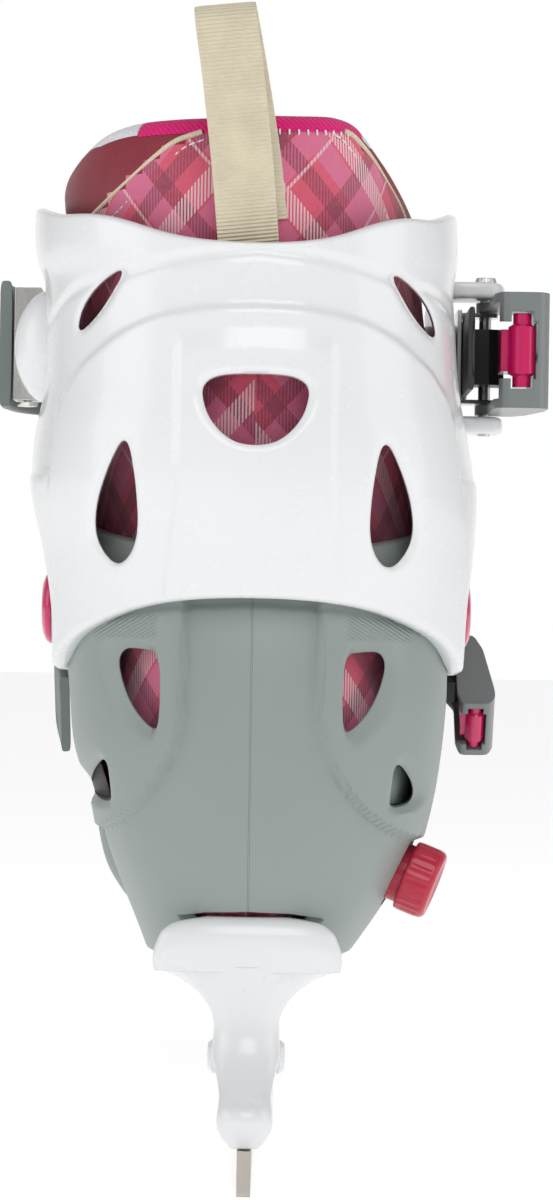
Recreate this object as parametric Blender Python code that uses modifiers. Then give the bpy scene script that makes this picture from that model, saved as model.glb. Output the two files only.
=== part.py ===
"""A size-adjustable hard-boot ice skate for the right foot.

Frame: metres, +Z up, toe towards +Y, outer side of the foot at +X. The origin is the middle of the blade's
running edge. Run with: blender --background --python part.py
"""

import math

import bmesh
import bpy
import numpy as np
from mathutils import Matrix, Vector

# ---- Driving dimensions, metres ----
GAP = 0.0003  # left between pieces that touch
WALL = 0.0030  # hard shell, its floor, and cuff
BLADE_HALF = 0.00154
BLADE_TAIL_Y = -0.1185
TANG_TAIL_Y = -0.1145  # above the rail the blade stops short, inside the holder
BLADE_TOE_Y = 0.1250
HOLDER_BOTTOM_Z = 0.0105
BOLT_Z = 0.0275  # cross bolts of the blade
BOLT_YS = (-0.086, 0.082)
SOLE_Z = 0.0495  # underside of the heel shell
FLOOR_Z = SOLE_Z + WALL
REAR_BOLT_Y = -0.0660  # bolts from the boot into the holder
MID_BOLT_Y = 0.0120
HEEL_END_Y = 0.0300  # front edge of the heel shell
TOE_REAR_Y = -0.0120  # rear edge of the toe shell, inside the heel shell
LINER_SPLIT_Y = 0.0360  # the inner boot's toe part starts here and moves with the toe shell
PIVOT_Y = -0.0550
PIVOT_Z = 0.1292
PIVOT_HOLE = 0.0033
CAP_RADIUS = 0.0086
HEEL_SPINE_Y = -0.0750  # where the floors' middle line ends at the heel and the toe
TOE_SPINE_Y = 0.0950
SIDE_Y = -0.0500  # where the boot is widest behind the instep
LINER_THICK = 0.0055
STRAP_Z = 0.1920  # middle of the ankle strap
INSTEP_PITCH = math.radians(38)
INSTEP_BUCKLE_SCALE = 0.72  # the lower buckle is a smaller copy of the ankle's
BUTTON_AT = Vector((0.0343, -0.0650, 0.0690))
BUTTON_AXIS = Vector((0.925, -0.130, -0.357)).normalized()

# Half-widths of the hard parts at each height: (height, inner side, outer side, rearmost y).
HEEL_STATIONS = (
    (0.0495, 0.0240, 0.0240, -0.0925),
    (0.0560, 0.0265, 0.0285, -0.0980),
    (0.0645, 0.0300, 0.0338, -0.1035),
    (0.0750, 0.0338, 0.0385, -0.1080),
    (0.0855, 0.0362, 0.0412, -0.1105),
    (0.0980, 0.0400, 0.0430, -0.1118),
    (0.1075, 0.0410, 0.0438, -0.1118),
    (0.1200, 0.0420, 0.0440, -0.1108),
    (0.1292, 0.0428, 0.0443, -0.1090),
    (0.1400, 0.0428, 0.0443, -0.1072),
    (0.1510, 0.0425, 0.0440, -0.1040),
)
CUFF_STATIONS = (
    (0.1120, 0.0468, 0.0488, -0.1100),
    (0.1203, 0.0472, 0.0498, -0.1115),
    (0.1320, 0.0480, 0.0506, -0.1132),
    (0.1414, 0.0492, 0.0511, -0.1147),
    (0.1589, 0.0527, 0.0515, -0.1165),
    (0.1688, 0.0523, 0.0500, -0.1165),
    (0.1797, 0.0503, 0.0478, -0.1155),
    (0.1960, 0.0500, 0.0464, -0.1145),
    (0.2062, 0.0507, 0.0460, -0.1140),
    (0.2098, 0.0520, 0.0466, -0.1137),
    (0.2240, 0.0530, 0.0462, -0.1130),
)
SHAFT_STATIONS = (
    (0.1330, 0.0365, 0.0380, -0.0985),
    (0.1500, 0.0375, 0.0384, -0.0995),
    (0.1650, 0.0400, 0.0392, -0.1045),
    (0.1900, 0.0415, 0.0390, -0.1055),
    (0.2100, 0.0430, 0.0385, -0.1050),
    (0.2400, 0.0400, 0.0335, -0.1030),
)
# Forefoot of the toe shell: (height, half-width, foremost y).
TOE_STATIONS = (
    (0.0530, 0.0330, 0.1230),
    (0.0600, 0.0375, 0.1310),
    (0.0700, 0.0405, 0.1345),
    (0.0800, 0.0413, 0.1330),
    (0.0900, 0.0402, 0.1240),
    (0.0980, 0.0385, 0.1090),
    (0.1050, 0.0370, 0.0900),
    (0.1130, 0.0350, 0.0680),
)


# ---- Making things ----
for old in list(bpy.data.objects):
    bpy.data.objects.remove(old, do_unlink=True)
PARTS = bpy.data.collections.new("ice_skate")
CUTTERS = bpy.data.collections.new("cutters")
bpy.context.scene.collection.children.link(PARTS)
bpy.context.scene.collection.children.link(CUTTERS)


def material(name, colour, roughness, metallic=0.0):
    """A Principled material with one colour."""
    made = bpy.data.materials.new(name)
    made.use_nodes = True
    shader = made.node_tree.nodes["Principled BSDF"]
    shader.inputs["Base Color"].default_value = (*colour, 1.0)
    shader.inputs["Roughness"].default_value = roughness
    shader.inputs["Metallic"].default_value = metallic
    made.diffuse_color = (*colour, 1.0)
    return made


WHITE = material("white_plastic", (0.83, 0.84, 0.84), 0.22)
GREY = material("grey_plastic", (0.23, 0.27, 0.26), 0.45)
DARK = material("dark_plastic", (0.02, 0.02, 0.02), 0.45)
PINK = material("pink_plastic", (0.65, 0.0, 0.12), 0.25)
CRIMSON = material("crimson_plastic", (0.50, 0.02, 0.07), 0.5)
STEEL = material("blade_steel", (0.45, 0.43, 0.40), 0.3, 1.0)
NICKEL = material("nickel_fixings", (0.62, 0.57, 0.47), 0.3, 1.0)
TARTAN = material("liner_tartan", (0.70, 0.12, 0.22), 0.85)
FOAM = material("liner_foam", (0.25, 0.01, 0.05), 0.9)
WEBBING = material("loop_webbing", (0.72, 0.65, 0.48), 0.9)

YZ_PLANE = Matrix(((0, 0, 1, 0), (1, 0, 0, 0), (0, 1, 0, 0), (0, 0, 0, 1)))  # outline (y, z), thick along X
XZ_PLANE = Matrix(((1, 0, 0, 0), (0, 0, -1, 0), (0, 1, 0, 0), (0, 0, 0, 1)))  # outline (x, z), thick along Y


def put(name, mesh, finish, place=Matrix()):
    """Puts a mesh in the scene as the named sub-part, or as a cutter where it has no finish."""
    made = bpy.data.objects.new(name, mesh)
    made.matrix_world = place
    if finish is None:
        CUTTERS.objects.link(made)
        made.hide_render = True
        made.display_type = "WIRE"
    else:
        PARTS.objects.link(made)
        mesh.materials.append(finish)
    return made


def mesh_of(name, build):
    """A mesh from a function that fills a bmesh."""
    work = bmesh.new()
    build(work)
    mesh = bpy.data.meshes.new(name)
    work.to_mesh(mesh)
    work.free()
    return mesh


def block(name, low, high, finish, place=Matrix()):
    """A box between two corners."""
    low, high = Vector(low), Vector(high)

    def build(work):
        size = Matrix.Diagonal((*(high - low), 1.0))
        bmesh.ops.create_cube(work, size=1.0, matrix=Matrix.Translation((low + high) / 2) @ size)

    return put(name, mesh_of(name, build), finish, place)


def along(start, axis):
    """A frame at start whose Z is the axis."""
    turn = Vector(axis).to_track_quat("Z", "Y").to_matrix().to_4x4()
    return Matrix.Translation(start) @ turn


def rod(name, radius, length, finish, place, sides=16):
    """A cylinder that stands on its frame's origin, along the frame's Z."""

    def build(work):
        bmesh.ops.create_cone(work, cap_ends=True, segments=sides, radius1=radius, radius2=radius,
                              depth=length, matrix=Matrix.Translation((0, 0, length / 2)))

    made = put(name, mesh_of(name, build), finish, place)
    smooth(made)
    return made


def smooth(made, angle=35):
    """Smooth shading, with edges sharper than the angle kept."""
    made.data.shade_smooth()
    made.data.set_sharp_from_angle(angle=math.radians(angle))


def turned(name, profile, finish, place, steps=28):
    """A turned piece: a profile of (radius, height) points, top to bottom on its outer side."""
    mesh = bpy.data.meshes.new(name)
    points = [(radius, 0, height) for radius, height in profile]
    closed = profile[0][0] > 0
    edges = [(i, i + 1) for i in range(len(points) - 1)]
    if closed:
        edges.append((len(points) - 1, 0))
    mesh.from_pydata(points, edges, [])
    made = put(name, mesh, finish, place)
    screw = made.modifiers.new("turn", "SCREW")
    screw.steps = steps
    screw.render_steps = steps
    screw.use_merge_vertices = True
    screw.merge_threshold = 0.00001
    screw.use_smooth_shade = False
    return made


def plate(name, outline, half, finish, place):
    """A flat outline of (x, y) points, half thick each way along its frame's Z."""
    curve = bpy.data.curves.new(name, "CURVE")
    curve.dimensions = "2D"
    curve.fill_mode = "BOTH"
    curve.extrude = half
    spline = curve.splines.new("POLY")
    spline.points.add(len(outline) - 1)
    for point, (x, y) in zip(spline.points, outline):
        point.co = (x, y, 0, 1)
    spline.use_cyclic_u = True
    drawn = bpy.data.objects.new(name + "_outline", curve)
    CUTTERS.objects.link(drawn)
    bpy.context.view_layer.update()
    ready = drawn.evaluated_get(bpy.context.evaluated_depsgraph_get())
    mesh = bpy.data.meshes.new_from_object(ready)
    bpy.data.objects.remove(drawn, do_unlink=True)
    work = bmesh.new()
    work.from_mesh(mesh)
    bmesh.ops.remove_doubles(work, verts=work.verts, dist=0.00001)
    bmesh.ops.recalc_face_normals(work, faces=work.faces)
    work.to_mesh(mesh)
    work.free()
    mesh.name = name
    mesh.materials.clear()
    return put(name, mesh, finish, place)


def sheet(name, grid, finish, thick, inward=True):
    """A wall: an open grid of points with a thickness on its inner or outer side."""
    rows, columns, _ = grid.shape
    corner = np.arange(rows * columns).reshape(rows, columns)
    quads = np.stack([corner[:-1, :-1], corner[:-1, 1:], corner[1:, 1:], corner[1:, :-1]], -1)
    mesh = bpy.data.meshes.new(name)
    mesh.from_pydata(grid.reshape(-1, 3).tolist(), [], quads.reshape(-1, 4).tolist())
    work = bmesh.new()
    work.from_mesh(mesh)
    bmesh.ops.remove_doubles(work, verts=work.verts, dist=0.000001)
    work.to_mesh(mesh)
    work.free()
    made = put(name, mesh, finish)
    smooth(made, 50)
    wall = made.modifiers.new("wall", "SOLIDIFY")
    wall.thickness = thick
    wall.offset = -1 if inward else 1
    wall.use_even_offset = True
    return made


def loft(name, rings, finish):
    """A closed solid through closed rings of equally many points, bottom ring first, anticlockwise from above."""
    rings = np.asarray(rings, float)
    count, around, _ = rings.shape
    corner = np.arange(count * around).reshape(count, around)
    after = np.roll(corner, -1, axis=1)
    quads = np.stack([corner[:-1], after[:-1], after[1:], corner[1:]], -1).reshape(-1, 4).tolist()
    faces = [*quads, corner[0][::-1].tolist(), corner[-1].tolist()]
    mesh = bpy.data.meshes.new(name)
    mesh.from_pydata(rings.reshape(-1, 3).tolist(), [], faces)
    made = put(name, mesh, finish)
    smooth(made, 50)
    return made


def boolean(made, other, operation):
    """Cuts, joins or keeps the overlap of a piece and a helper solid."""
    if other.name not in CUTTERS.objects:
        PARTS.objects.unlink(other)
        CUTTERS.objects.link(other)
        other.hide_render = True
        other.display_type = "WIRE"
    step = made.modifiers.new(operation.lower(), "BOOLEAN")
    step.operation = operation
    step.solver = "EXACT"
    step.object = other
    return made


def cut(made, other):
    return boolean(made, other, "DIFFERENCE")


def join(made, other):
    return boolean(made, other, "UNION")


def through(stations, at, column=1):
    """A smooth curve through stations (place, values...): cubic pieces with averaged slopes."""
    table = np.array(stations, float)
    places, values = table[:, 0], table[:, column]
    slopes = np.gradient(values, places)
    at = np.clip(at, places[0], places[-1])
    i = np.clip(np.searchsorted(places, at) - 1, 0, len(places) - 2)
    h = places[i + 1] - places[i]
    t = (at - places[i]) / h
    return ((1 + 2 * t) * (1 - t) ** 2 * values[i] + t * (1 - t) ** 2 * h * slopes[i]
            + t * t * (3 - 2 * t) * values[i + 1] + t * t * (t - 1) * h * slopes[i + 1])


def horseshoe(u, inner, outer, nose_y, end_y, side_y=SIDE_Y, pinch=0.0):
    """Points of a U in plan: u runs -1 to 1 from the inner end round the nose to the outer end.

    The middle part is a squarish half ellipse from the nose to side_y, and the rest is a side that narrows
    by pinch on its way to end_y.
    """
    bend = 0.66
    power = 0.88
    turn = np.minimum(np.abs(u) / bend, 1.0) * (math.pi / 2)
    side = np.clip((np.abs(u) - bend) / (1 - bend), 0, 1)
    width = np.where(u < 0, inner, outer)
    x = np.sign(u) * width * np.abs(np.sin(turn)) ** power * (1 - pinch * side**2)
    y = side_y + (nose_y - side_y) * np.abs(np.cos(turn)) ** power + (end_y - side_y) * side
    return x, y


def boot_wall(stations, bottom, top, end_y, rows, columns, grow=0.0, pinch=0.0, nose=-0.1120):
    """The grid of a wall that wraps round the heel, between two edges given by (y, z) stations."""
    u = np.linspace(-1, 1, columns)[None, :]
    v = np.linspace(0, 1, rows)[:, None]
    _, y_guide = horseshoe(u, 1.0, 1.0, nose, end_y)
    low = through(bottom, y_guide)
    high = through(top, y_guide)
    z = low + (high - low) * v
    x, y = horseshoe(
        u + 0 * v,
        through(stations, z, 1) + grow,
        through(stations, z, 2) + grow,
        through(stations, z, 3) - grow,
        end_y,
        pinch=pinch,
    )
    return np.stack([x, y, z], -1)


def with_floor(wall, spine_y):
    """The wall's grid with a flat floor: rows that run from the boot's middle line out to the lowest row."""
    edge = wall[0]
    beyond = edge[:, 1] < spine_y if spine_y < 0 else edge[:, 1] > spine_y
    middle = np.stack([0 * edge[:, 0], np.where(beyond, spine_y, edge[:, 1]), edge[:, 2]], -1)
    return np.concatenate([[middle, (middle + edge) / 2], wall])


# ---- Blade and holder ----
def arc(centre, radius, start, end, count):
    """Points on an arc between two angles in degrees."""
    angles = np.radians(np.linspace(start, end, count))
    return [(centre[0] + radius * math.cos(a), centre[1] + radius * math.sin(a)) for a in angles]


def make_blade():
    """The runner: a flat plate with a curved toe and two tangs that reach up into the holder's towers."""
    outline = [(BLADE_TAIL_Y + 0.001, 0.0), (0.096, 0.0)]
    outline += arc((0.096, 0.040), 0.040, -80, -44, 6)
    outline += [(BLADE_TOE_Y, 0.0165), (BLADE_TOE_Y - 0.004, 0.0200)]
    for y in reversed(BOLT_YS):
        outline += [(y + 0.014, 0.0200), (y + 0.009, 0.0335), (y - 0.009, 0.0335), (y - 0.014, 0.0200)]
    outline += [(TANG_TAIL_Y, 0.0200), (TANG_TAIL_Y, HOLDER_BOTTOM_Z - GAP),
                (BLADE_TAIL_Y, HOLDER_BOTTOM_Z - GAP), (BLADE_TAIL_Y, 0.001)]
    blade = plate("blade", outline, BLADE_HALF, STEEL, YZ_PLANE)
    for y in BOLT_YS:
        cut(blade, rod("blade_hole", 0.0023, 0.02, None, along((-0.01, y, BOLT_Z), (1, 0, 0))))
    return blade


def make_holder():
    """The white chassis: its side outline and its rear outline, kept where the two overlap."""
    side = [
        (-0.1170, HOLDER_BOTTOM_Z),
        (0.1190, HOLDER_BOTTOM_Z),
        (0.1205, 0.0180),
        (0.1060, 0.0300),
        (0.1020, 0.0400),
        (0.1080, 0.0470),
        (0.1080, FLOOR_Z),
        (HEEL_END_Y + 0.0006, FLOOR_Z),
        (HEEL_END_Y + 0.0006, SOLE_Z - GAP),
        (-0.0950, SOLE_Z - GAP),
        (-0.0950, 0.0590),
        (-0.0965, 0.0607),
        (-0.1005, 0.0607),
        (-0.1040, 0.0560),
        (-0.1010, 0.0440),
        (-0.1030, 0.0300),
        (-0.1150, 0.0170),
    ]
    half = [
        (0.0030, HOLDER_BOTTOM_Z),
        (0.0046, 0.0118),
        (0.0059, 0.0219),
        (0.0070, 0.0262),
        (0.0081, 0.0270),
        (0.0081, 0.0284),
        (0.0073, 0.0305),
        (0.0087, 0.0397),
        (0.0128, 0.0436),
        (0.0170, 0.0460),
        (0.0209, 0.0472),
        (0.0213, 0.0509),
        (0.0204, 0.0547),
        (0.0180, 0.0583),
        (0.0126, 0.0599),
        (0.0040, 0.0609),
    ]
    rear = half + [(-x, z) for x, z in reversed(half)]
    holder = plate("blade_holder", side, 0.030, WHITE, YZ_PLANE)
    boolean(holder, plate("rear_outline", rear, 0.15, None, XZ_PLANE), "INTERSECT")
    arch = arc((-0.034, 0.0275), 0.0095, 270, 90, 7) + arc((0.034, 0.0275), 0.0095, 90, -90, 7)
    cut(holder, plate("arch_gap", arch, 0.03, None, YZ_PLANE))
    slot = BLADE_HALF + GAP
    cut(holder, block("blade_slot", (-slot, TANG_TAIL_Y - GAP, 0.0), (slot, 0.14, 0.0200 + GAP), None))
    for index, y in enumerate(BOLT_YS):
        tang = block("tang_slot_%d" % index, (-slot, y - 0.0145, 0.018), (slot, y + 0.0145, 0.0340), None)
        cut(holder, tang)
        cut(holder, rod("bolt_hole", 0.0023, 0.04, None, along((-0.02, y, BOLT_Z), (1, 0, 0))))
        for sign in (-1, 1):
            seat = along((sign * 0.0066, y, BOLT_Z), (sign, 0, 0))
            cut(holder, rod("bolt_seat", 0.0043, 0.01, None, seat))
    for y in (REAR_BOLT_Y, MID_BOLT_Y):
        cut(holder, rod("boot_bolt_hole", 0.0028, 0.02, None, along((0, y, 0.0375), (0, 0, 1))))
    return holder


def make_blade_bolts():
    """A bolt and a cap nut through each tower, across the blade."""
    for end, y in zip(("rear", "front"), BOLT_YS):
        head = [(0, 0.0020), (0.0030, 0.0018), (0.0039, 0.0008), (0.0039, 0.0), (0.0020, 0.0),
                (0.0020, -0.0122), (0, -0.0122)]
        place = along((0.0066 + GAP, y, BOLT_Z), (1, 0, 0))
        turned("blade_bolt_" + end, head, WHITE, place, 18)
        nut = [(0, 0.0020), (0.0030, 0.0018), (0.0039, 0.0008), (0.0039, 0.0), (0, 0.0)]
        place = along((-0.0066 - GAP, y, BOLT_Z), (-1, 0, 0))
        turned("blade_nut_" + end, nut, WHITE, place, 18)


def make_boot_bolts():
    """Two bolts from inside the heel shell down into the holder; the front one's head is sunk in the floor."""
    for name, y, head_low, head_high in (
        ("holder_bolt_rear", REAR_BOLT_Y, FLOOR_Z + GAP, FLOOR_Z + 0.0032),
        ("holder_bolt_mid", MID_BOLT_Y, SOLE_Z + 0.0008, FLOOR_Z - GAP),
    ):
        profile = [(0, head_high), (0.0050, head_high), (0.0050, head_low), (0.0025, head_low),
                   (0.0025, 0.0385), (0, 0.0385)]
        turned(name, profile, NICKEL, Matrix.Translation((0, y, 0)), 18)


# ---- Heel shell ----
def window(name, corners, depth, middle_y):
    """A cutter for an opening seen from behind: an outline of (x, z) corners that runs along Y."""
    return plate(name, corners, depth, None, Matrix.Translation((0, middle_y, 0)) @ XZ_PLANE)


def rounded(corners, radius, count=4):
    """An outline with each corner rounded by a quadratic bend that starts radius before it."""
    out = []
    points = [Vector(c) for c in corners]
    for i, here in enumerate(points):
        before, after = points[i - 1], points[(i + 1) % len(points)]
        start = here + (before - here).normalized() * min(radius, (before - here).length * 0.45)
        end = here + (after - here).normalized() * min(radius, (after - here).length * 0.45)
        for t in np.linspace(0, 1, count):
            out.append(tuple(start * (1 - t) ** 2 + here * 2 * t * (1 - t) + end * t * t))
    return out


HEEL_TOP = (
    (-0.1120, 0.1430),
    (-0.0900, 0.1465),
    (-0.0700, 0.1490),
    (-0.0550, 0.1490),
    (-0.0400, 0.1430),
    (-0.0200, 0.1240),
    (0.0050, 0.1080),
    (0.0300, 0.0970),
)
HEEL_BOTTOM = ((-0.1120, SOLE_Z), (0.0300, SOLE_Z))
UPPER_WINDOW = ((0.0207, 0.1190), (0.0286, 0.1197), (0.0299, 0.1165), (0.0270, 0.1075), (0.0215, 0.1026),
                (0.0207, 0.1040))
LOWER_WINDOW = ((0.0320, 0.0955), (0.0368, 0.0905), (0.0366, 0.0862), (0.0318, 0.0850))


def mirrored(corners):
    """The same outline on the inner side of the boot."""
    return [(-x, z) for x, z in reversed(corners)]


def make_heel_shell():
    """The rear half of the hard boot: a wall round the heel on a flat sole, with four windows behind."""
    grid = boot_wall(HEEL_STATIONS, HEEL_BOTTOM, HEEL_TOP, HEEL_END_Y, 12, 37)
    shell = sheet("heel_shell", with_floor(grid, HEEL_SPINE_Y), GREY, WALL)
    half = [(0.0, 0.0616), (0.0095, 0.0612), (0.0165, 0.0599), (0.0192, 0.0570), (0.0192, 0.040)]
    notch = [(-x, z) for x, z in reversed(half[1:])] + half
    cut(shell, window("heel_notch", notch, 0.0122, -0.1060))
    for side, flip in (("outer", list), ("inner", mirrored)):
        cut(shell, window("upper_window_" + side, rounded(flip(UPPER_WINDOW), 0.0012, 3), 0.016, -0.100))
        cut(shell, window("lower_window_" + side, rounded(flip(LOWER_WINDOW), 0.0012, 3), 0.024, -0.090))
    cut(shell, rod("pivot_bore", PIVOT_HOLE, 0.12, None, along((-0.06, PIVOT_Y, PIVOT_Z), (1, 0, 0))))
    cut(shell, rod("button_seat", 0.0089, 0.02, None, along(BUTTON_AT - BUTTON_AXIS * 0.0006, BUTTON_AXIS)))
    cut(shell, rod("button_bore", 0.0024, 0.02, None, along(BUTTON_AT - BUTTON_AXIS * 0.010, BUTTON_AXIS), 16))
    for y in (REAR_BOLT_Y, MID_BOLT_Y):
        cut(shell, rod("sole_hole", 0.0028, 0.02, None, along((0, y, SOLE_Z - 0.010), (0, 0, 1))))
    cut(shell, rod("sole_seat", 0.0055, 0.02, None, along((0, MID_BOLT_Y, SOLE_Z + 0.0005), (0, 0, 1))))
    return shell


# ---- Toe shell ----
def forefoot(u, height, grow=0.0, rear_y=TOE_REAR_Y):
    """Points of the toe shell in plan: u runs -1 to 1 from the outer rear end round the toe to the inner."""
    bend = 0.60
    power = 0.92
    turn = np.minimum(np.abs(u) / bend, 1.0) * (math.pi / 2)
    side = np.clip((np.abs(u) - bend) / (1 - bend), 0, 1)
    widest_y = 0.0720
    nose = through(TOE_STATIONS, height, 2) + grow
    y = np.where(nose > widest_y, widest_y, nose) + np.maximum(nose - widest_y, 0) * np.abs(np.cos(turn)) ** power
    y = y + (rear_y - np.minimum(nose, widest_y)) * side
    rear = np.where(u < 0, through(HEEL_STATIONS, height, 2), through(HEEL_STATIONS, height, 1)) - 0.0038
    wide = through(TOE_STATIONS, height, 1)
    flare = np.clip((y - HEEL_END_Y - 0.009) / 0.020, 0, 1)
    flare = flare * flare * (3 - 2 * flare)
    width = rear + (wide - rear) * flare + grow
    x = -np.sign(u) * width * np.abs(np.sin(turn)) ** power
    return x, y


TOE_TOP = ((-0.0120, 0.0900), (0.0300, 0.0990), (0.0600, 0.1080), (0.1000, 0.1050), (0.1345, 0.1010))


def make_toe_shell():
    """The front half of the hard boot: a toe cap on a flat sole, whose rear slides inside the heel shell."""
    floor = FLOOR_Z + 0.0005
    u = np.linspace(-1, 1, 33)[None, :]
    v = np.linspace(0, 1, 9)[:, None]
    _, guide = forefoot(u, np.full_like(u, 0.075))
    z = floor + (through(TOE_TOP, guide) - floor) * v
    x, y = forefoot(u + 0 * v, z)
    wall = np.stack([x, y, z], -1)
    shell = sheet("toe_shell", with_floor(wall, TOE_SPINE_Y), GREY, WALL)
    return shell


# ---- Cuff ----
CUFF_TOP = (
    (-0.1135, 0.2108),
    (-0.1120, 0.2117),
    (-0.1060, 0.2155),
    (-0.0850, 0.2190),
    (-0.0600, 0.2225),
    (-0.0400, 0.2228),
    (-0.0200, 0.2175),
    (0.0030, 0.2040),
)
CUFF_BOTTOM = (
    (-0.1135, 0.1319),
    (-0.1080, 0.1300),
    (-0.1000, 0.1268),
    (-0.0880, 0.1225),
    (-0.0720, 0.1162),
    (-0.0550, 0.1147),
    (-0.0400, 0.1185),
    (-0.0250, 0.1350),
    (-0.0120, 0.1560),
    (0.0030, 0.1700),
)
UPPER_SLIT = ((0.0300, 0.2056), (0.0375, 0.1990), (0.0402, 0.1935), (0.0390, 0.1928), (0.0340, 0.1970))
LOWER_VENT = ((0.0292, 0.1678), (0.0330, 0.1600), (0.0357, 0.1505), (0.0350, 0.1440), (0.0300, 0.1386),
              (0.0262, 0.1450), (0.0262, 0.1560))
MIDDLE_VENT = ((-0.0116, 0.1800), (-0.0060, 0.1811), (0.0060, 0.1811), (0.0116, 0.1800), (0.0105, 0.1735),
               (0.0060, 0.1680), (0.0, 0.1661), (-0.0060, 0.1680), (-0.0105, 0.1735))


def make_cuff():
    """The hinged white cuff: a wall round the ankle with five vents, a boss, and lugs for the buckle's pin."""
    grid = boot_wall(CUFF_STATIONS, CUFF_BOTTOM, CUFF_TOP, 0.0030, 11, 41, pinch=0.04, nose=-0.1135)
    cuff = sheet("cuff", grid, WHITE, WALL)

    def dome(work):
        squash = Matrix.Translation((-0.0490, -0.0520, 0.1905)) @ Matrix.Diagonal((0.0085, 0.0100, 0.0134, 1))
        bmesh.ops.create_uvsphere(work, u_segments=16, v_segments=10, radius=1.0, matrix=squash)

    boss = put("strap_boss", mesh_of("strap_boss", dome), None)
    cut(boss, block("boss_limit", (-0.0485, -0.08, 0.17), (-0.0300, -0.02, 0.21), None))
    join(cuff, boss)
    lug = rounded([(-0.0100, -0.0100), (0.0100, -0.0100), (0.0100, 0.0050), (-0.0100, 0.0070)], 0.003, 4)
    for name, low in (("lug_lower", STRAP_Z - 0.0185), ("lug_upper", STRAP_Z + 0.0145)):
        place = Matrix.Translation((0.0500, -0.0040, low + 0.0020))
        join(cuff, plate(name, lug, 0.0020, None, place))
    cut(cuff, rod("lug_bore", 0.0018, 0.06, None, along((0.0560, -0.0040, STRAP_Z - 0.03), (0, 0, 1)), 16))
    cut(cuff, window("middle_vent", rounded(MIDDLE_VENT, 0.0015, 2), 0.012, -0.115))
    for side, flip in (("outer", list), ("inner", mirrored)):
        cut(cuff, window("upper_slit_" + side, rounded(flip(UPPER_SLIT), 0.0008, 2), 0.022, -0.090))
        cut(cuff, window("lower_vent_" + side, rounded(flip(LOWER_VENT), 0.0020, 3), 0.020, -0.100))
    cut(cuff, rod("cuff_bore", PIVOT_HOLE, 0.14, None, along((-0.07, PIVOT_Y, PIVOT_Z), (1, 0, 0))))
    for sign, face in ((-1, 0.0470), (1, 0.0482)):
        seat = along((sign * face, PIVOT_Y, PIVOT_Z), (sign, 0, 0))
        cut(cuff, rod("cap_seat", CAP_RADIUS + GAP, 0.02, None, seat, 28))
    return cuff


def make_pivots():
    """On each side: a rivet from inside the shell through shell and cuff, a washer between them, and a cap."""
    for side, sign, inside, gap_low, face in (
        ("inner", -1, 0.0389, 0.0431, 0.0470),
        ("outer", 1, 0.0404, 0.0446, 0.0482),
    ):
        out = (sign, 0, 0)
        length = face - inside
        rivet = [(0, length), (0.0030, length), (0.0030, 0.0), (0.0055, 0.0), (0.0055, -0.0010),
                 (0, -0.0010)]
        turned("pivot_rivet_" + side, rivet, NICKEL, along((sign * inside, PIVOT_Y, PIVOT_Z), out), 20)
        width = 0.0008
        washer = [(0.0070, width), (0.0070, 0.0), (0.0034, 0.0), (0.0034, width)]
        turned("pivot_washer_" + side, washer, DARK, along((sign * gap_low, PIVOT_Y, PIVOT_Z), out), 20)
        cap = [(0, 0.0026), (0.0050, 0.0025), (0.0077, 0.0018), (CAP_RADIUS, 0.0006), (CAP_RADIUS, 0.0),
               (0, 0.0)]
        place = along((sign * (face + GAP), PIVOT_Y, PIVOT_Z), out)
        turned("pivot_cap_" + side, cap, PINK, place, 28)


# ---- Inner boot ----
FOOT_STATIONS = (
    (0.0565, 0.0320, 0.1170),
    (0.0640, 0.0350, 0.1240),
    (0.0700, 0.0362, 0.1260),
    (0.0800, 0.0370, 0.1250),
    (0.0900, 0.0360, 0.1150),
    (0.0980, 0.0345, 0.0990),
    (0.1050, 0.0325, 0.0800),
    (0.1150, 0.0320, 0.0560),
    (0.1290, 0.0350, 0.0220),
)


def foot_ring(height, inset, lift=0.0):
    """A closed outline of the foot part at one height, inset from its outside."""
    heel = np.linspace(-1, 1, 17)
    at = height + lift
    low_room = 0.0080 * np.clip((0.080 - height) / 0.016, 0, 1)
    clear = 0.0058 + inset
    inner = through(HEEL_STATIONS, height, 1) - clear
    outer = through(HEEL_STATIONS, height, 2) - clear - low_room
    back = through(HEEL_STATIONS, height, 3) + clear - 0.0010
    heel_y = SIDE_Y + 0.0060
    x, y = horseshoe(heel, inner, outer, back, heel_y)
    turn = np.linspace(0, math.pi, 13)
    wide = through(FOOT_STATIONS, at, 1) - 0.0008 - inset
    tip = through(FOOT_STATIONS, at, 2) - inset
    start_y = min(0.0660, tip - 0.0250)
    toe_x = wide * np.sign(np.cos(turn)) * np.abs(np.cos(turn)) ** 0.92
    toe_y = start_y + (tip - start_y) * np.abs(np.sin(turn)) ** 0.92
    waist_y = np.array([TOE_REAR_Y - 0.0040, 0.0180, 0.0420])
    if start_y < 0.0500:
        waist_y = heel_y + (start_y - heel_y) * np.array([0.25, 0.50, 0.75])
    waist = 0.0026
    right_x = np.full(3, outer - waist + low_room)
    left_x = np.full(3, -inner + waist)
    xs = np.concatenate([x, right_x, toe_x, left_x])
    ys = np.concatenate([y, waist_y, toe_y, waist_y[::-1]])
    return np.stack([xs, ys, np.full_like(xs, height)], -1)


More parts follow.
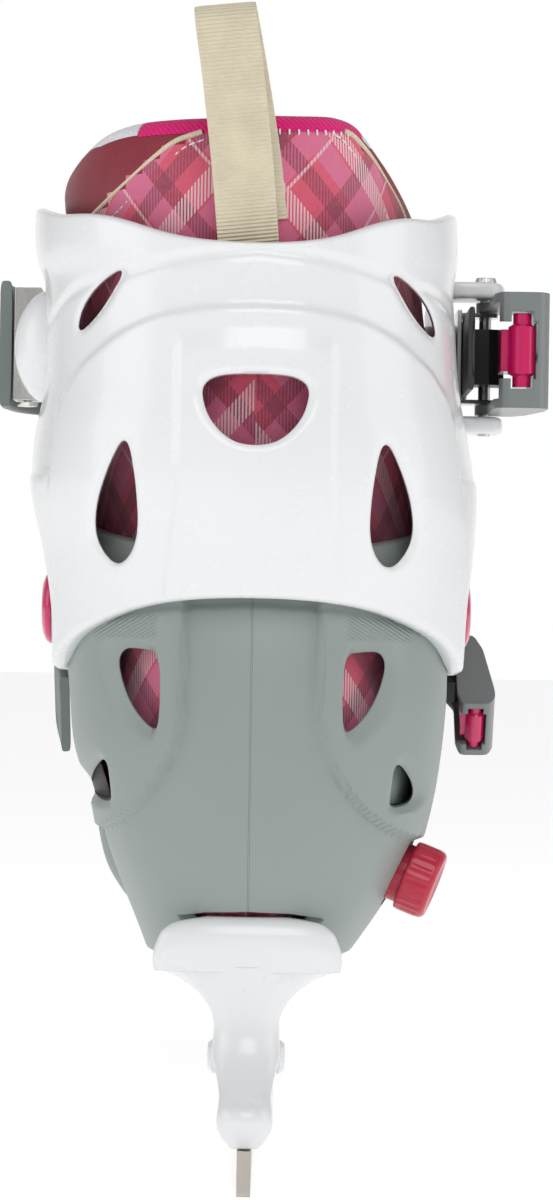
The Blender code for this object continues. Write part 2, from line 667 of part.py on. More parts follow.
def make_liner_foot():
    """The foot part of the soft inner boot and its toe part, with a real hollow for the foot."""
    heights = np.concatenate([np.linspace(0.0565, 0.098, 5), [0.107, 0.117, 0.1285]])
    hollow = np.concatenate([np.linspace(0.0622, 0.096, 4), [0.106, 0.117, 0.1300]])
    for name, low_y, high_y in (
        ("liner_foot", LINER_SPLIT_Y, 0.2),
        ("liner_toe", -0.2, LINER_SPLIT_Y + GAP),
    ):
        liner = loft(name, [foot_ring(h, 0.0) for h in heights], TARTAN)
        cut(liner, loft(name + "_space", [foot_ring(h, LINER_THICK, 0.004) for h in hollow], None))
        cut(liner, block(name + "_rest", (-0.1, low_y, 0), (0.1, high_y, 0.2), None))


def make_footbed():
    """The insole, a thin plate on the floor of the inner boot."""
    rings = [foot_ring(h, LINER_THICK + 0.0012, 0.004) for h in (0.0626, 0.0652)]
    front_half = 0.0148
    for ring in rings:
        front = ring[:, 1] > LINER_SPLIT_Y
        ring[front, 0] = np.clip(ring[front, 0], -front_half, front_half)
    loft("footbed", rings, FOAM)


SHAFT_TOP = (
    (-0.1050, 0.2386),
    (-0.1010, 0.2382),
    (-0.0960, 0.2340),
    (-0.0880, 0.2265),
    (-0.0750, 0.2205),
    (-0.0500, 0.2175),
    (-0.0020, 0.2120),
)
FLEX_SLOPE = math.tan(math.radians(9))
SHAFT_BOTTOM = tuple((y, PIVOT_Z + 0.0040 + abs(y - PIVOT_Y) * FLEX_SLOPE) for y in (-0.105, PIVOT_Y, -0.002))


def make_liner_shaft():
    """The ankle part of the inner boot: a padded wall, open in front, whose collar rises behind."""
    grid = boot_wall(SHAFT_STATIONS, SHAFT_BOTTOM, SHAFT_TOP, -0.0020, 7, 29, nose=-0.105)
    return sheet("liner_shaft", grid, TARTAN, LINER_THICK)


def make_tongue():
    """The padded tongue: a curved slab in front of the ankle."""
    across = np.linspace(-1, 1, 9)[None, :]
    up = np.linspace(0, 1, 5)[:, None]
    z = 0.1560 + 0.0780 * up
    x = -0.0290 * across * (1 + 0.10 * up)
    y = 0.0120 + 0.0100 * up**2 - 0.0070 * across**2
    return sheet("liner_tongue", np.stack([x + 0 * z, y + 0 * across, z + 0 * across], -1), FOAM, 0.0070)


def smooth_path(points, steps):
    """A smooth open curve through points, with the given number of steps between two of them."""
    points = np.array(points, float)
    ends = np.vstack([2 * points[0] - points[1], points, 2 * points[-1] - points[-2]])
    out = []
    for i in range(1, len(ends) - 2):
        p0, p1, p2, p3 = ends[i - 1 : i + 3]
        t = np.linspace(0, 1, steps, endpoint=False)[:, None]
        out.append(0.5 * (2 * p1 + (p2 - p0) * t + (2 * p0 - 5 * p1 + 4 * p2 - p3) * t**2
                          + (3 * p1 - p0 - 3 * p2 + p3) * t**3))
    out.append(points[-1:])
    return np.vstack(out)


def strap(name, path, across, width, thick, finish, steps=4):
    """A flat band along a path, its width along one fixed direction, its thickness on the outer side."""
    line = smooth_path(path, steps)
    side = np.array(Vector(across).normalized())
    share = np.linspace(0.5, -0.5, 3)[:, None, None]
    grid = line[None] + share * width * side
    return sheet(name, grid, finish, thick, inward=False)


def make_pull_loop():
    """A loop of webbing sewn to the back of the collar, leaning to the inner side."""
    path = [
        (-0.0018, -0.1066, 0.2030),
        (-0.0024, -0.1074, 0.2130),
        (-0.0040, -0.1138, 0.2300),
        (-0.0062, -0.1168, 0.2480),
        (-0.0078, -0.1158, 0.2590),
        (-0.0080, -0.1110, 0.2625),
        (-0.0070, -0.1065, 0.2585),
        (-0.0050, -0.1055, 0.2480),
        (-0.0020, -0.1058, 0.2300),
        (-0.0004, -0.1060, 0.2160),
    ]
    return strap("pull_loop", path, (0.985, 0.06, 0.11), 0.0137, 0.0011, WEBBING, 3)


# ---- Straps ----
def make_ankle_strap():
    """A strap from the inner side round the front, and the ribbed ladder that runs into the outer buckle."""
    inner = [(-0.0590, -0.0400), (-0.0590, -0.0220), (-0.0540, 0.0040), (-0.0330, 0.0290), (0.0, 0.0370),
             (0.0180, 0.0360)]
    path = [(x, y, STRAP_Z) for x, y in inner]
    strap("ankle_strap", path, (0, 0, 1), 0.0300, 0.0030, GREY)
    outer = [(-0.0020, 0.0406), (0.0180, 0.0394), (0.0400, 0.0260), (0.0496, 0.0060), (0.0498, -0.0140),
             (0.0498, -0.0500)]
    path = [(x, y, STRAP_Z) for x, y in outer]
    strap("ankle_ladder", path, (0, 0, 1), 0.0196, 0.0016, DARK)


def make_strap_fixings():
    """The pinned bracket at the ankle strap's inner end, and the screws that join each strap to its ladder."""
    pin_x, pin_y, reach = -0.0553, -0.0350, 0.0135
    bracket = block("ankle_strap_bracket", (-0.0584, pin_y - 0.0050, STRAP_Z - reach),
                    (-0.0522, pin_y + 0.0050, STRAP_Z + reach), NICKEL)
    bore = along((pin_x, pin_y, STRAP_Z - 0.025), (0, 0, 1))
    cut(bracket, rod("bracket_bore", 0.0013, 0.05, None, bore, 12))
    head = [(0, 0.0012), (0.0024, 0.0010), (0.0026, 0.0), (0.0009, 0.0), (0.0009, -2 * reach), (0, -2 * reach)]
    place = along((pin_x, pin_y, STRAP_Z - reach - GAP), (0, 0, -1))
    turned("ankle_strap_pin", head, NICKEL, place, 14)
    screw = [(0, 0.0010), (0.0030, 0.0008), (0.0036, 0.0), (0, 0.0)]
    turned("ankle_strap_screw", screw, NICKEL, along((0.0080, 0.0423 + GAP, STRAP_Z), (0.03, 1, 0)), 16)
    up = (0, math.sin(INSTEP_PITCH), math.cos(INSTEP_PITCH))
    turned("instep_strap_screw", screw, NICKEL, along(INSTEP_SCREW_AT, up), 16)


INSTEP_ACROSS = Vector((0, -math.sin(INSTEP_PITCH), math.cos(INSTEP_PITCH)))
INSTEP_ALONG = Vector((0, math.cos(INSTEP_PITCH), math.sin(INSTEP_PITCH)))
INSTEP_ROOT = Vector((0, -0.0060, 0.1000))
INSTEP_SCREW_AT = Vector((0.0060, 0, 0)) + INSTEP_ROOT + INSTEP_ALONG * 0.0686


def instep_path(points):
    """Points (x, distance along the strap's plane) as places in the frame."""
    return [tuple(INSTEP_ROOT + INSTEP_ALONG * far + Vector((x, 0, 0))) for x, far in points]


def make_instep_strap():
    """The lower strap, which crosses the instep on a slant, and its ribbed ladder."""
    inner = [(-0.0455, 0.0040), (-0.0475, 0.0180), (-0.0440, 0.0380), (-0.0280, 0.0560), (0.0, 0.0630),
             (0.0140, 0.0620)]
    strap("instep_strap", instep_path(inner), INSTEP_ACROSS, 0.0240, 0.0025, GREY)
    outer = [(-0.0020, 0.0660), (0.0140, 0.0650), (0.0340, 0.0570), (0.0444, 0.0400), (0.0452, 0.0180),
             (0.0453, -0.0020)]
    strap("instep_ladder", instep_path(outer), INSTEP_ACROSS, 0.0108, 0.0016, DARK)


# ---- Moving groups ----
def hang(name, place, pieces):
    """An empty on a joint's axis, with the pieces that move on it as its children."""
    empty = bpy.data.objects.new(name, None)
    empty.matrix_world = place
    PARTS.objects.link(empty)
    for piece in pieces:
        held = bpy.data.objects[piece]
        held.parent = empty
        held.matrix_parent_inverse = place.inverted()


# ---- Buckles ----
def make_buckle(prefix, place, width, length, floor, past):
    """A ratchet buckle in its own frame: the lever's pin is the Z axis, the lever's free end points to -Y and
    outwards is +X. width is the lever's, length from the pin to the free end, floor the base's height and past
    how far the pin stands out beside the lever."""
    half = width / 2
    base = [(floor, -0.0160), (floor + 0.0010, -0.0160), (floor + 0.0010, 0.0020), (floor, 0.0020)]
    steel = plate(prefix + "_buckle_base", base, half - 0.0026, NICKEL, place)
    for sign in (-1, 1):
        cheek = rounded([(floor + 0.0005, -0.0060), (0.0030, -0.0040), (0.0030, 0.0040), (floor + 0.0005, 0.0050)],
                        0.001, 3)
        side = Matrix.Translation((0, 0, sign * (half - 0.0031)))
        join(steel, plate(prefix + "_cheek", cheek, 0.0005, None, place @ side))
    cut(steel, rod(prefix + "_base_bore", 0.0018, width + 0.02, None, place @ along((0, 0, -half - 0.01), (0, 0, 1)), 16))
    reach = half + past
    pin = [(0, reach + 0.0014), (0.0024, reach + 0.0012), (0.0028, reach), (0.0015, reach), (0.0015, -reach),
           (0, -reach)]
    turned(prefix + "_buckle_pin", pin, NICKEL, place, 16)
    outline = [
        (0.0030, 0.0060),
        (-0.0020, 0.0045),
        (-0.0025, -0.0030),
        (0.0005, -0.0080),
        (0.0005, -length + 0.0060),
        (0.0020, -length),
        (0.0115, -length),
        (0.0136, -length + 0.0040),
        (0.0134, -0.0240),
        (0.0100, -0.0020),
        (0.0070, 0.0055),
    ]
    lever = plate(prefix + "_buckle_lever", rounded(outline, 0.0016, 3), half, GREY, place)
    channel = block(prefix + "_channel", (-0.02, -length + 0.0022, -half + 0.0023),
                    (0.0102, 0.0200, half - 0.0023), None, place)
    cut(lever, channel)
    cut(lever, block(prefix + "_notch", (0.0010, -length - 0.01, -0.0068), (0.0105, -length + 0.010, 0.0068),
                     None, place))
    cut(lever, block(prefix + "_trunnion_slot", (0.0042, -length - 0.01, -0.0092),
                     (0.0095, -length + 0.0075, 0.0092), None, place))
    cut(lever, rod(prefix + "_lever_bore", 0.0018, width + 0.02, None,
                   place @ along((0, 0, -half - 0.01), (0, 0, 1)), 16))
    pawl = [(0.0042, 0.0028), (0.0042, -0.0100), (0.0005, -0.0120), (floor + 0.0042, -0.0115),
            (floor + 0.0042, -0.0085), (-0.0024, -0.0034), (-0.0024, 0.0024)]
    claw = plate(prefix + "_buckle_pawl", pawl, half - 0.0070, NICKEL, place)
    cut(claw, rod(prefix + "_pawl_bore", 0.0018, width, None, place @ along((0, 0, -half), (0, 0, 1)), 16))
    barrel_x, barrel_y = 0.0069, -length + 0.0030
    axis = place @ Matrix.Translation((barrel_x, barrel_y, 0))
    body = [(0, 0.0088), (0.0022, 0.0088), (0.0022, 0.0062), (0.0033, 0.0056), (0.0033, -0.0056),
            (0.0022, -0.0062), (0.0022, -0.0088), (0, -0.0088)]
    trigger = turned(prefix + "_trigger", body, PINK, axis, 24)
    arm = block(prefix + "_trigger_arm", (-0.0050, 0.0, -0.0050), (-0.0012, 0.0150, 0.0050), None, axis)
    join(trigger, arm)
    turns, points = 3, 8
    spring = bpy.data.curves.new(prefix + "_trigger_spring", "CURVE")
    spring.dimensions = "3D"
    spring.bevel_depth = 0.0003
    spring.bevel_resolution = 1
    spring.use_fill_caps = True
    wire = spring.splines.new("POLY")
    wire.points.add(turns * points)
    low_x, high_x = barrel_x - 0.0012 + 0.0007, 0.0102 - 0.0007
    for i, point in enumerate(wire.points):
        angle = 2 * math.pi * i / points
        rise = low_x + (high_x - low_x) * i / (turns * points)
        point.co = (rise, barrel_y + 0.0125 + 0.0020 * math.cos(angle), 0.0020 * math.sin(angle), 1)
    spring.materials.append(NICKEL)
    coil = bpy.data.objects.new(prefix + "_trigger_spring", spring)
    coil.matrix_world = place
    PARTS.objects.link(coil)
    hang(prefix + "_trigger_axis", axis, [prefix + "_trigger"])


# ---- Size adjustment ----
def make_size_button():
    """The press button that frees the toe shell: a cup that slides over a fixed round base, on a spring."""
    place = along(BUTTON_AT, BUTTON_AXIS)
    base = [(0.0070, 0.0052), (0.0070, -0.0003), (0.0024, -0.0003), (0.0024, 0.0010), (0.0042, 0.0010),
            (0.0042, 0.0052)]
    turned("size_button_base", base, CRIMSON, place, 28)
    cup = [(0, 0.0098), (0.0066, 0.0098), (0.0079, 0.0092), (0.0083, 0.0080), (0.0083, 0.0026),
           (0.0074, 0.0026), (0.0074, 0.0078), (0.0017, 0.0078), (0.0017, -0.0042), (0, -0.0042)]
    turned("size_button", cup, CRIMSON, place, 28)
    turns, points = 4, 8
    spring = bpy.data.curves.new("size_button_spring", "CURVE")
    spring.dimensions = "3D"
    spring.bevel_depth = 0.00035
    spring.bevel_resolution = 1
    spring.use_fill_caps = True
    wire = spring.splines.new("POLY")
    wire.points.add(turns * points)
    for i, point in enumerate(wire.points):
        angle = 2 * math.pi * i / points
        rise = 0.0017 + 0.0054 * i / (turns * points)
        point.co = (0.0030 * math.cos(angle), 0.0030 * math.sin(angle), rise, 1)
    spring.materials.append(NICKEL)
    coil = bpy.data.objects.new("size_button_spring", spring)
    coil.matrix_world = place
    PARTS.objects.link(coil)


def make_size_rack():
    """The notched bar on the toe shell's floor that the button's catch holds."""
    rack = block("size_rack", (0.0120, -0.0560, FLOOR_Z + GAP), (0.0180, TOE_REAR_Y - GAP, 0.0560), DARK)
    for index in range(5):
        y = -0.0530 + index * 0.0066
        cut(rack, block("rack_notch_%d" % index, (0.0165, y, 0.05), (0.02, y + 0.0030, 0.06), None))


# ---- Putting it together ----
make_blade()
make_holder()
make_blade_bolts()
make_boot_bolts()
make_heel_shell()
make_toe_shell()
make_cuff()
make_pivots()
make_liner_foot()
make_footbed()
make_liner_shaft()
make_tongue()
make_pull_loop()
make_ankle_strap()
make_instep_strap()
make_strap_fixings()
ANKLE_PIN = Matrix.Translation((0.0560, -0.0040, STRAP_Z))
make_buckle("ankle", ANKLE_PIN, 0.0276, 0.0420, -0.0075, 0.0052)
INSTEP_PIN = (
    Matrix.Translation(INSTEP_ROOT + INSTEP_ALONG * 0.0235 + Vector((0.0500, 0, 0)))
    @ Matrix.Rotation(INSTEP_PITCH, 4, "X")
    @ Matrix.Scale(INSTEP_BUCKLE_SCALE, 4)
)
make_buckle("instep", INSTEP_PIN, 0.0230, 0.0320, -0.0080, 0.0004)
make_size_button()
make_size_rack()
for prefix, pin in (("ankle", ANKLE_PIN), ("instep", INSTEP_PIN)):
    moving = [prefix + "_buckle_lever", prefix + "_buckle_pawl", prefix + "_trigger_spring"]
    hang(prefix + "_lever_axis", pin, moving)
hang("cuff_axis", Matrix.Translation((0, PIVOT_Y, PIVOT_Z)), [
    "cuff", "pivot_cap_inner", "pivot_cap_outer", "liner_shaft", "liner_tongue", "pull_loop",
    "ankle_strap", "ankle_ladder", "ankle_strap_bracket", "ankle_strap_pin", "ankle_strap_screw",
    "ankle_buckle_base", "ankle_buckle_pin",
])
hang("toe_axis", Matrix.Translation((0, TOE_REAR_Y, FLOOR_Z)), ["toe_shell", "size_rack", "liner_toe"])
hang("size_button_axis", along(BUTTON_AT, BUTTON_AXIS), ["size_button"])
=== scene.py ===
"""The looks of an adjustable hard-boot ice skate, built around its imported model, in metres.

+Z is up, +Y is towards the toe and +X is towards the outer side of the foot. The origin is in the middle of the
runner's edge.
"""

import math

import bmesh
import bpy
import numpy as np
from mathutils import Matrix, Vector


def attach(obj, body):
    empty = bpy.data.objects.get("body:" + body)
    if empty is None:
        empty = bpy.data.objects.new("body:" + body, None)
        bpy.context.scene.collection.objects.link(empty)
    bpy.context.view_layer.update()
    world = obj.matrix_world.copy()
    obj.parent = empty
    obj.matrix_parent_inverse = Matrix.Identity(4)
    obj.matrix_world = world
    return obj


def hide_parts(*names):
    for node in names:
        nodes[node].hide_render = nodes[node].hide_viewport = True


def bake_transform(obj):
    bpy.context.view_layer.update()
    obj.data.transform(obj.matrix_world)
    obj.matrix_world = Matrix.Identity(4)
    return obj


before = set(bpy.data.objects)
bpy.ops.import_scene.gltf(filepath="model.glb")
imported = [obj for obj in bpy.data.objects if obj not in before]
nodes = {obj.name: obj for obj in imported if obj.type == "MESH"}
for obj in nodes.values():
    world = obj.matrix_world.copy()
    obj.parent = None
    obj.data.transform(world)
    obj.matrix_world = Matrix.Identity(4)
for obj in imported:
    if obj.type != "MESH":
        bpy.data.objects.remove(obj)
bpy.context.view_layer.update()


# ---- Camera, floor and light ----
# The skate stands on a pale floor and is seen squarely from behind, level with its ankle, by a long lens. A wide
# soft light hangs behind the camera and two weaker ones stand at its sides. The sky is dimmer except straight ahead.
camera = bpy.data.objects.new("camera", bpy.data.cameras.new("camera"))
camera.data.lens = 121.6
camera.location = (0.0053, -1.01, 0.1316)
camera.rotation_euler = (math.pi / 2, math.radians(-0.9), 0)
bpy.context.scene.collection.objects.link(camera)
bpy.context.scene.camera = camera


def add(tree, kind, sockets=None, **settings):
    """A shader node with its settings made, and each of its sockets given a value or a link."""
    made = tree.nodes.new("ShaderNode" + kind)
    for setting, value in settings.items():
        setattr(made, setting, value)
    for socket, value in (sockets or {}).items():
        if isinstance(value, bpy.types.NodeSocket):
            tree.links.new(value, made.inputs[socket])
        else:
            made.inputs[socket].default_value = value
    return made


def new_material(name, **sockets):
    """A material with these sockets of its shader set; returns it, its tree, shader and coordinates."""
    finish = bpy.data.materials.new(name)
    finish.use_nodes = True
    tree = finish.node_tree
    shader = tree.nodes["Principled BSDF"]
    for socket, value in sockets.items():
        shader.inputs[socket.replace("_", " ")].default_value = value
    return finish, tree, shader, add(tree, "TexCoord").outputs["Object"]


def shade(colour, factor):
    """An RGBA colour made lighter or darker."""
    return tuple(min(1.0, c * factor) for c in colour[:3]) + (1.0,)


def mottled(tree, shader, coords, colour, spread, scale):
    """Colour that drifts a little either side of its mean, by a soft noise; returns the noise."""
    noise = add(tree, "TexNoise", {"Vector": coords, "Scale": scale, "Detail": 3.0})
    ramp = add(tree, "ValToRGB", {"Fac": noise.outputs["Fac"]})
    ramp.color_ramp.elements[0].position, ramp.color_ramp.elements[0].color = 0.3, shade(colour, 1 - spread)
    ramp.color_ramp.elements[1].position, ramp.color_ramp.elements[1].color = 0.7, shade(colour, 1 + spread)
    tree.links.new(ramp.outputs["Color"], shader.inputs["Base Color"])
    return noise


floor_finish, tree, shader, coords = new_material("studio_floor", Roughness=0.7, Emission_Strength=0.56)
shader.inputs["Emission Color"].default_value = (1.0, 1.0, 1.0, 1)
mottled(tree, shader, coords, (0.86, 0.86, 0.865), 0.01, 3.0)
floor = bpy.data.objects.new("studio_floor", bpy.data.meshes.new("studio_floor"))
floor.data.from_pydata([(-6, -6, 0), (6, -6, 0), (6, 6, 0), (-6, 6, 0)], [], [(0, 1, 2, 3)])
floor.data.materials.append(floor_finish)
bpy.context.scene.collection.objects.link(floor)

world = bpy.data.worlds.new("studio")
world.use_nodes = True
ahead = add(world.node_tree, "SeparateXYZ", {"Vector": add(world.node_tree, "TexCoord").outputs["Generated"]})
glow = add(world.node_tree, "MapRange", {"Value": ahead.outputs["Y"], "From Min": 0.80, "From Max": 0.95,
                                         "To Min": 0.36, "To Max": 1.0})
world.node_tree.links.new(glow.outputs["Result"], world.node_tree.nodes["Background"].inputs["Strength"])
world.node_tree.nodes["Background"].inputs["Color"].default_value = (1.0, 1.0, 1.0, 1)
bpy.context.scene.world = world
bpy.context.scene.view_settings.view_transform = "Standard"
for name, place, size, power in (
    ("light_back", (0.15, -1.3, 1.15), 1.0, 8.5),
    ("light_left", (-1.3, -0.4, 0.6), 0.9, 3.4),
    ("light_right", (1.3, -0.2, 0.5), 0.9, 2.4),
):
    lamp = bpy.data.objects.new(name, bpy.data.lights.new(name, "AREA"))
    lamp.data.size = size
    lamp.data.energy = power
    lamp.location = place
    lamp.rotation_euler = (Vector((0, 0, 0.13)) - Vector(place)).to_track_quat("-Z", "Y").to_euler()
    bpy.context.scene.collection.objects.link(lamp)


# ---- Runner ----
# A flat steel plate with a curved toe, ground along its length, pressed up into the holder and bolted through it.
# The steel keeps fine grinding lines along the blade.
def brushed(name, colour, roughness, stretch, depth=0.00002):
    """Metal with fine lines: noise stretched by stretch along each axis drives roughness and a shallow bump."""
    finish, tree, shader, coords = new_material(name, Metallic=1.0, Roughness=roughness)
    spread = add(tree, "Mapping", {"Vector": coords, "Scale": stretch})
    lines = add(tree, "TexNoise", {"Vector": spread.outputs["Vector"], "Scale": 1.0, "Detail": 4.0})
    mottled(tree, shader, coords, colour, 0.08, 60.0)
    rough = add(tree, "MapRange", {"Value": lines.outputs["Fac"], "To Min": roughness - 0.08,
                                   "To Max": roughness + 0.10})
    tree.links.new(rough.outputs["Result"], shader.inputs["Roughness"])
    soft = add(tree, "Bevel", {"Radius": 0.0003}, samples=4)
    bump = add(tree, "Bump", {"Height": lines.outputs["Fac"], "Distance": depth, "Strength": 0.6,
                              "Normal": soft.outputs["Normal"]})
    tree.links.new(bump.outputs["Normal"], shader.inputs["Normal"])
    return finish


def dress(finish, *names):
    """Gives CAD nodes this material in place of their own."""
    for name in names:
        mesh = nodes[name].data
        mesh.materials.clear()
        mesh.materials.append(finish)


ground_steel = brushed("ground_steel", (0.50, 0.47, 0.42), 0.32, (2500.0, 30.0, 2500.0))
dress(ground_steel, "blade")
nickel = brushed("nickel_plate", (0.66, 0.60, 0.50), 0.28, (400.0, 400.0, 400.0))
dress(nickel, "holder_bolt_rear", "holder_bolt_mid", "pivot_rivet_inner", "pivot_rivet_outer")


# ---- Holder ----
# The white chassis under the boot, one moulding: a deck under the sole, two towers with an arch between them, and
# a rail that grips the runner. It is glossy, with a faint orange-peel skin.
def through(stations, at, column=1):
    """A smooth curve through stations (place, values...): cubic pieces with averaged slopes."""
    table = np.array(stations, float)
    places, values = table[:, 0], table[:, column]
    slopes = np.gradient(values, places)
    at = np.clip(at, places[0], places[-1])
    i = np.clip(np.searchsorted(places, at) - 1, 0, len(places) - 2)
    h = places[i + 1] - places[i]
    t = (at - places[i]) / h
    return ((1 + 2 * t) * (1 - t) ** 2 * values[i] + t * (1 - t) ** 2 * h * slopes[i]
            + t * t * (3 - 2 * t) * values[i + 1] + t * t * (t - 1) * h * slopes[i + 1])


def mesh_piece(name, parts, finishes, sharp=40):
    """One object from several (points, faces) arrays of quads; faces may carry a material index as fifth column.

    Corners that meet at less than sharp degrees are shaded smooth.
    """
    points, quads, kinds, start = [], [], [], 0
    for place, faces in parts:
        faces = np.asarray(faces)
        points.append(np.asarray(place, float).reshape(-1, 3))
        quads.append(faces[:, :4] + start)
        kinds.append(faces[:, 4] if faces.shape[1] > 4 else np.zeros(len(faces), int))
        start += len(points[-1])
    points, quads, kinds = np.concatenate(points), np.concatenate(quads), np.concatenate(kinds)
    mesh = bpy.data.meshes.new(name)
    mesh.vertices.add(len(points))
    mesh.vertices.foreach_set("co", points.astype(np.float32).ravel())
    mesh.loops.add(quads.size)
    mesh.loops.foreach_set("vertex_index", quads.astype(np.int32).ravel())
    mesh.polygons.add(len(quads))
    mesh.polygons.foreach_set("loop_start", np.arange(0, quads.size, 4, dtype=np.int32))
    for finish in finishes:
        mesh.materials.append(finish)
    mesh.polygons.foreach_set("material_index", kinds.astype(np.int32))
    mesh.update(calc_edges=True)
    mesh.validate()
    mesh.shade_smooth()
    mesh.set_sharp_from_angle(angle=math.radians(sharp))
    made = bpy.data.objects.new(name, mesh)
    bpy.context.scene.collection.objects.link(made)
    return made


def quads_of(rows, columns, ring=False, flip=False, start=0):
    """The faces of a grid of points: each holds four neighbours, and a ring's last column meets its first."""
    r = np.arange(rows - 1)[:, None]
    c = np.arange(columns if ring else columns - 1)[None, :]
    after = (c + 1) % columns
    corners = [r * columns + c, r * columns + after, (r + 1) * columns + after, (r + 1) * columns + c]
    faces = np.stack([corner.ravel() + start for corner in corners], -1)
    return faces[:, ::-1] if flip else faces


def closed_loft(rings):
    """Rings of points, from the lowest up, as a closed body: the sides, and each end drawn in to its middle."""
    rings = np.asarray(rings, float)
    first, last = rings[0].mean(0), rings[-1].mean(0)
    grid = np.concatenate([first + 0 * rings[:1], rings, last + 0 * rings[-1:]])
    return grid, quads_of(len(grid), grid.shape[1], ring=True)


def tidy(made):
    """Merges points that lie together, so that poles and seams are closed, and drops faces with no area."""
    work = bmesh.new()
    work.from_mesh(made.data)
    bmesh.ops.remove_doubles(work, verts=work.verts, dist=0.000004)
    bmesh.ops.dissolve_degenerate(work, edges=work.edges, dist=0.000002)
    work.to_mesh(made.data)
    work.free()
    return made


def prisms(name, outlines):
    """A cutter from closed outlines, each a (corners, along) with corners as 3-D points moved by along."""
    work = bmesh.new()
    for corners, along in outlines:
        near = [work.verts.new(c) for c in corners]
        far = [work.verts.new(np.asarray(c) + along) for c in corners]
        work.faces.new(near)
        work.faces.new(far[::-1])
        for i in range(len(near)):
            j = (i + 1) % len(near)
            work.faces.new((near[j], near[i], far[i], far[j]))
    bmesh.ops.recalc_face_normals(work, faces=work.faces)
    mesh = bpy.data.meshes.new(name)
    work.to_mesh(mesh)
    work.free()
    cutter = bpy.data.objects.new(name, mesh)
    bpy.context.scene.collection.objects.link(cutter)
    return cutter


def carve(made, cutter, overlapping=False):
    """Cuts one body out of another and removes the cutter; overlapping joins a piece's own bodies as well."""
    work = made.modifiers.new("cut", "BOOLEAN")
    work.object = cutter
    work.operation = "DIFFERENCE"
    work.solver = "EXACT"
    work.use_self = overlapping
    graph = bpy.context.evaluated_depsgraph_get()
    mesh = bpy.data.meshes.new_from_object(made.evaluated_get(graph))
    made.modifiers.clear()
    made.data = mesh
    bpy.data.objects.remove(cutter)
    mesh.shade_smooth()
    mesh.set_sharp_from_angle(angle=math.radians(40))
    return made


def moulded(name, colour, roughness, grain=0.00001, edge=0.0005, coat=0.0, spread=0.02):
    """Moulded plastic: a soft drift in colour, an orange-peel bump, uneven gloss and softened edges.

    Returns the material, its tree, its bump node and its coordinates, so that a piece can add its own marks.
    """
    finish, tree, shader, coords = new_material(name, Roughness=roughness, Coat_Weight=coat,
                                                Coat_Roughness=0.08)
    mottled(tree, shader, coords, colour, spread, 25.0)
    cloud = add(tree, "TexNoise", {"Vector": coords, "Scale": 90.0, "Detail": 4.0})
    rough = add(tree, "MapRange", {"Value": cloud.outputs["Fac"], "To Min": roughness - 0.05,
                                   "To Max": roughness + 0.06})
    tree.links.new(rough.outputs["Result"], shader.inputs["Roughness"])
    skin = add(tree, "TexNoise", {"Vector": coords, "Scale": 1800.0, "Detail": 2.0})
    soft = add(tree, "Bevel", {"Radius": edge}, samples=4)
    bump = add(tree, "Bump", {"Height": skin.outputs["Fac"], "Distance": grain, "Strength": 0.5,
                              "Normal": soft.outputs["Normal"]})
    tree.links.new(bump.outputs["Normal"], shader.inputs["Normal"])
    return finish, tree, bump, coords


HOLDER_HALF = (  # height, half-width
    (0.0105, 0.0032), (0.0118, 0.0046), (0.0219, 0.0059), (0.0262, 0.0069), (0.0284, 0.0076), (0.0305, 0.0076),
    (0.0397, 0.0087), (0.0436, 0.0124), (0.0460, 0.0166), (0.0474, 0.0205), (0.0492, 0.0213),
)
HOLDER_SIDE = (  # height, rear end, front end
    (0.0105, -0.1168, 0.1186), (0.0130, -0.1166, 0.1194), (0.0190, -0.1158, 0.1200), (0.0230, -0.1100, 0.1130),
    (0.0300, -0.1032, 0.1062), (0.0400, -0.1012, 0.1024), (0.0470, -0.1022, 0.1076), (0.0492, -0.1030, 0.1078),
)


def stadium(half, rear, front, height, depth=0.8, steps=40):
    """A level ring with straight sides and half-ellipse ends: half wide, from rear to front, ends depth x half."""
    turn = np.linspace(0, math.pi, steps // 2)
    reach = min(half * depth, (front - rear) / 2.05)
    x = np.concatenate([half * np.cos(turn), -half * np.cos(turn)])
    y = np.concatenate([front - reach + reach * np.sin(turn), rear + reach - reach * np.sin(turn)])
    return np.stack([x, y, np.full_like(x, height)], -1)


holder_finish, _, _, _ = moulded("white_holder", (0.78, 0.79, 0.80), 0.28, coat=0.3)
heights = np.linspace(0.0105, 0.0492, 60)
body = [stadium(through(HOLDER_HALF, h), through(HOLDER_SIDE, h, 1), through(HOLDER_SIDE, h, 2), h)
        for h in heights]
deck = [stadium(0.0200, 0.0308, 0.1072, h, 0.4) for h in np.linspace(0.0488, 0.0524, 6)]
UPSTAND = ((0.0480, 0.0210, -0.1022), (0.0509, 0.0213, -0.1036), (0.0547, 0.0204, -0.1042),
           (0.0575, 0.0186, -0.1038), (0.0593, 0.0150, -0.1026), (0.0603, 0.0090, -0.1010))
tab = [stadium(through(UPSTAND, h, 1), through(UPSTAND, h, 2), -0.0952, h, 0.22)
       for h in np.linspace(0.0480, 0.0603, 22)]
holder = mesh_piece("holder_chassis", [closed_loft(body), closed_loft(deck), closed_loft(tab)], [holder_finish])
tidy(holder)
turn = np.linspace(-math.pi / 2, math.pi / 2, 12)
right = np.stack([0.034 + 0.0095 * np.cos(turn), 0.0275 + 0.0095 * np.sin(turn)], -1)
arch = np.concatenate([right, right[::-1] * (-1, 1)])
arch = np.stack([np.full(len(arch), -0.04), arch[:, 0], arch[:, 1]], -1)
carve(holder, prisms("arch", [(arch, (0.08, 0, 0))]), overlapping=True)
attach(holder, "boot")
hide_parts("blade_holder")
dress(holder_finish, "blade_bolt_rear", "blade_bolt_front", "blade_nut_rear", "blade_nut_front")


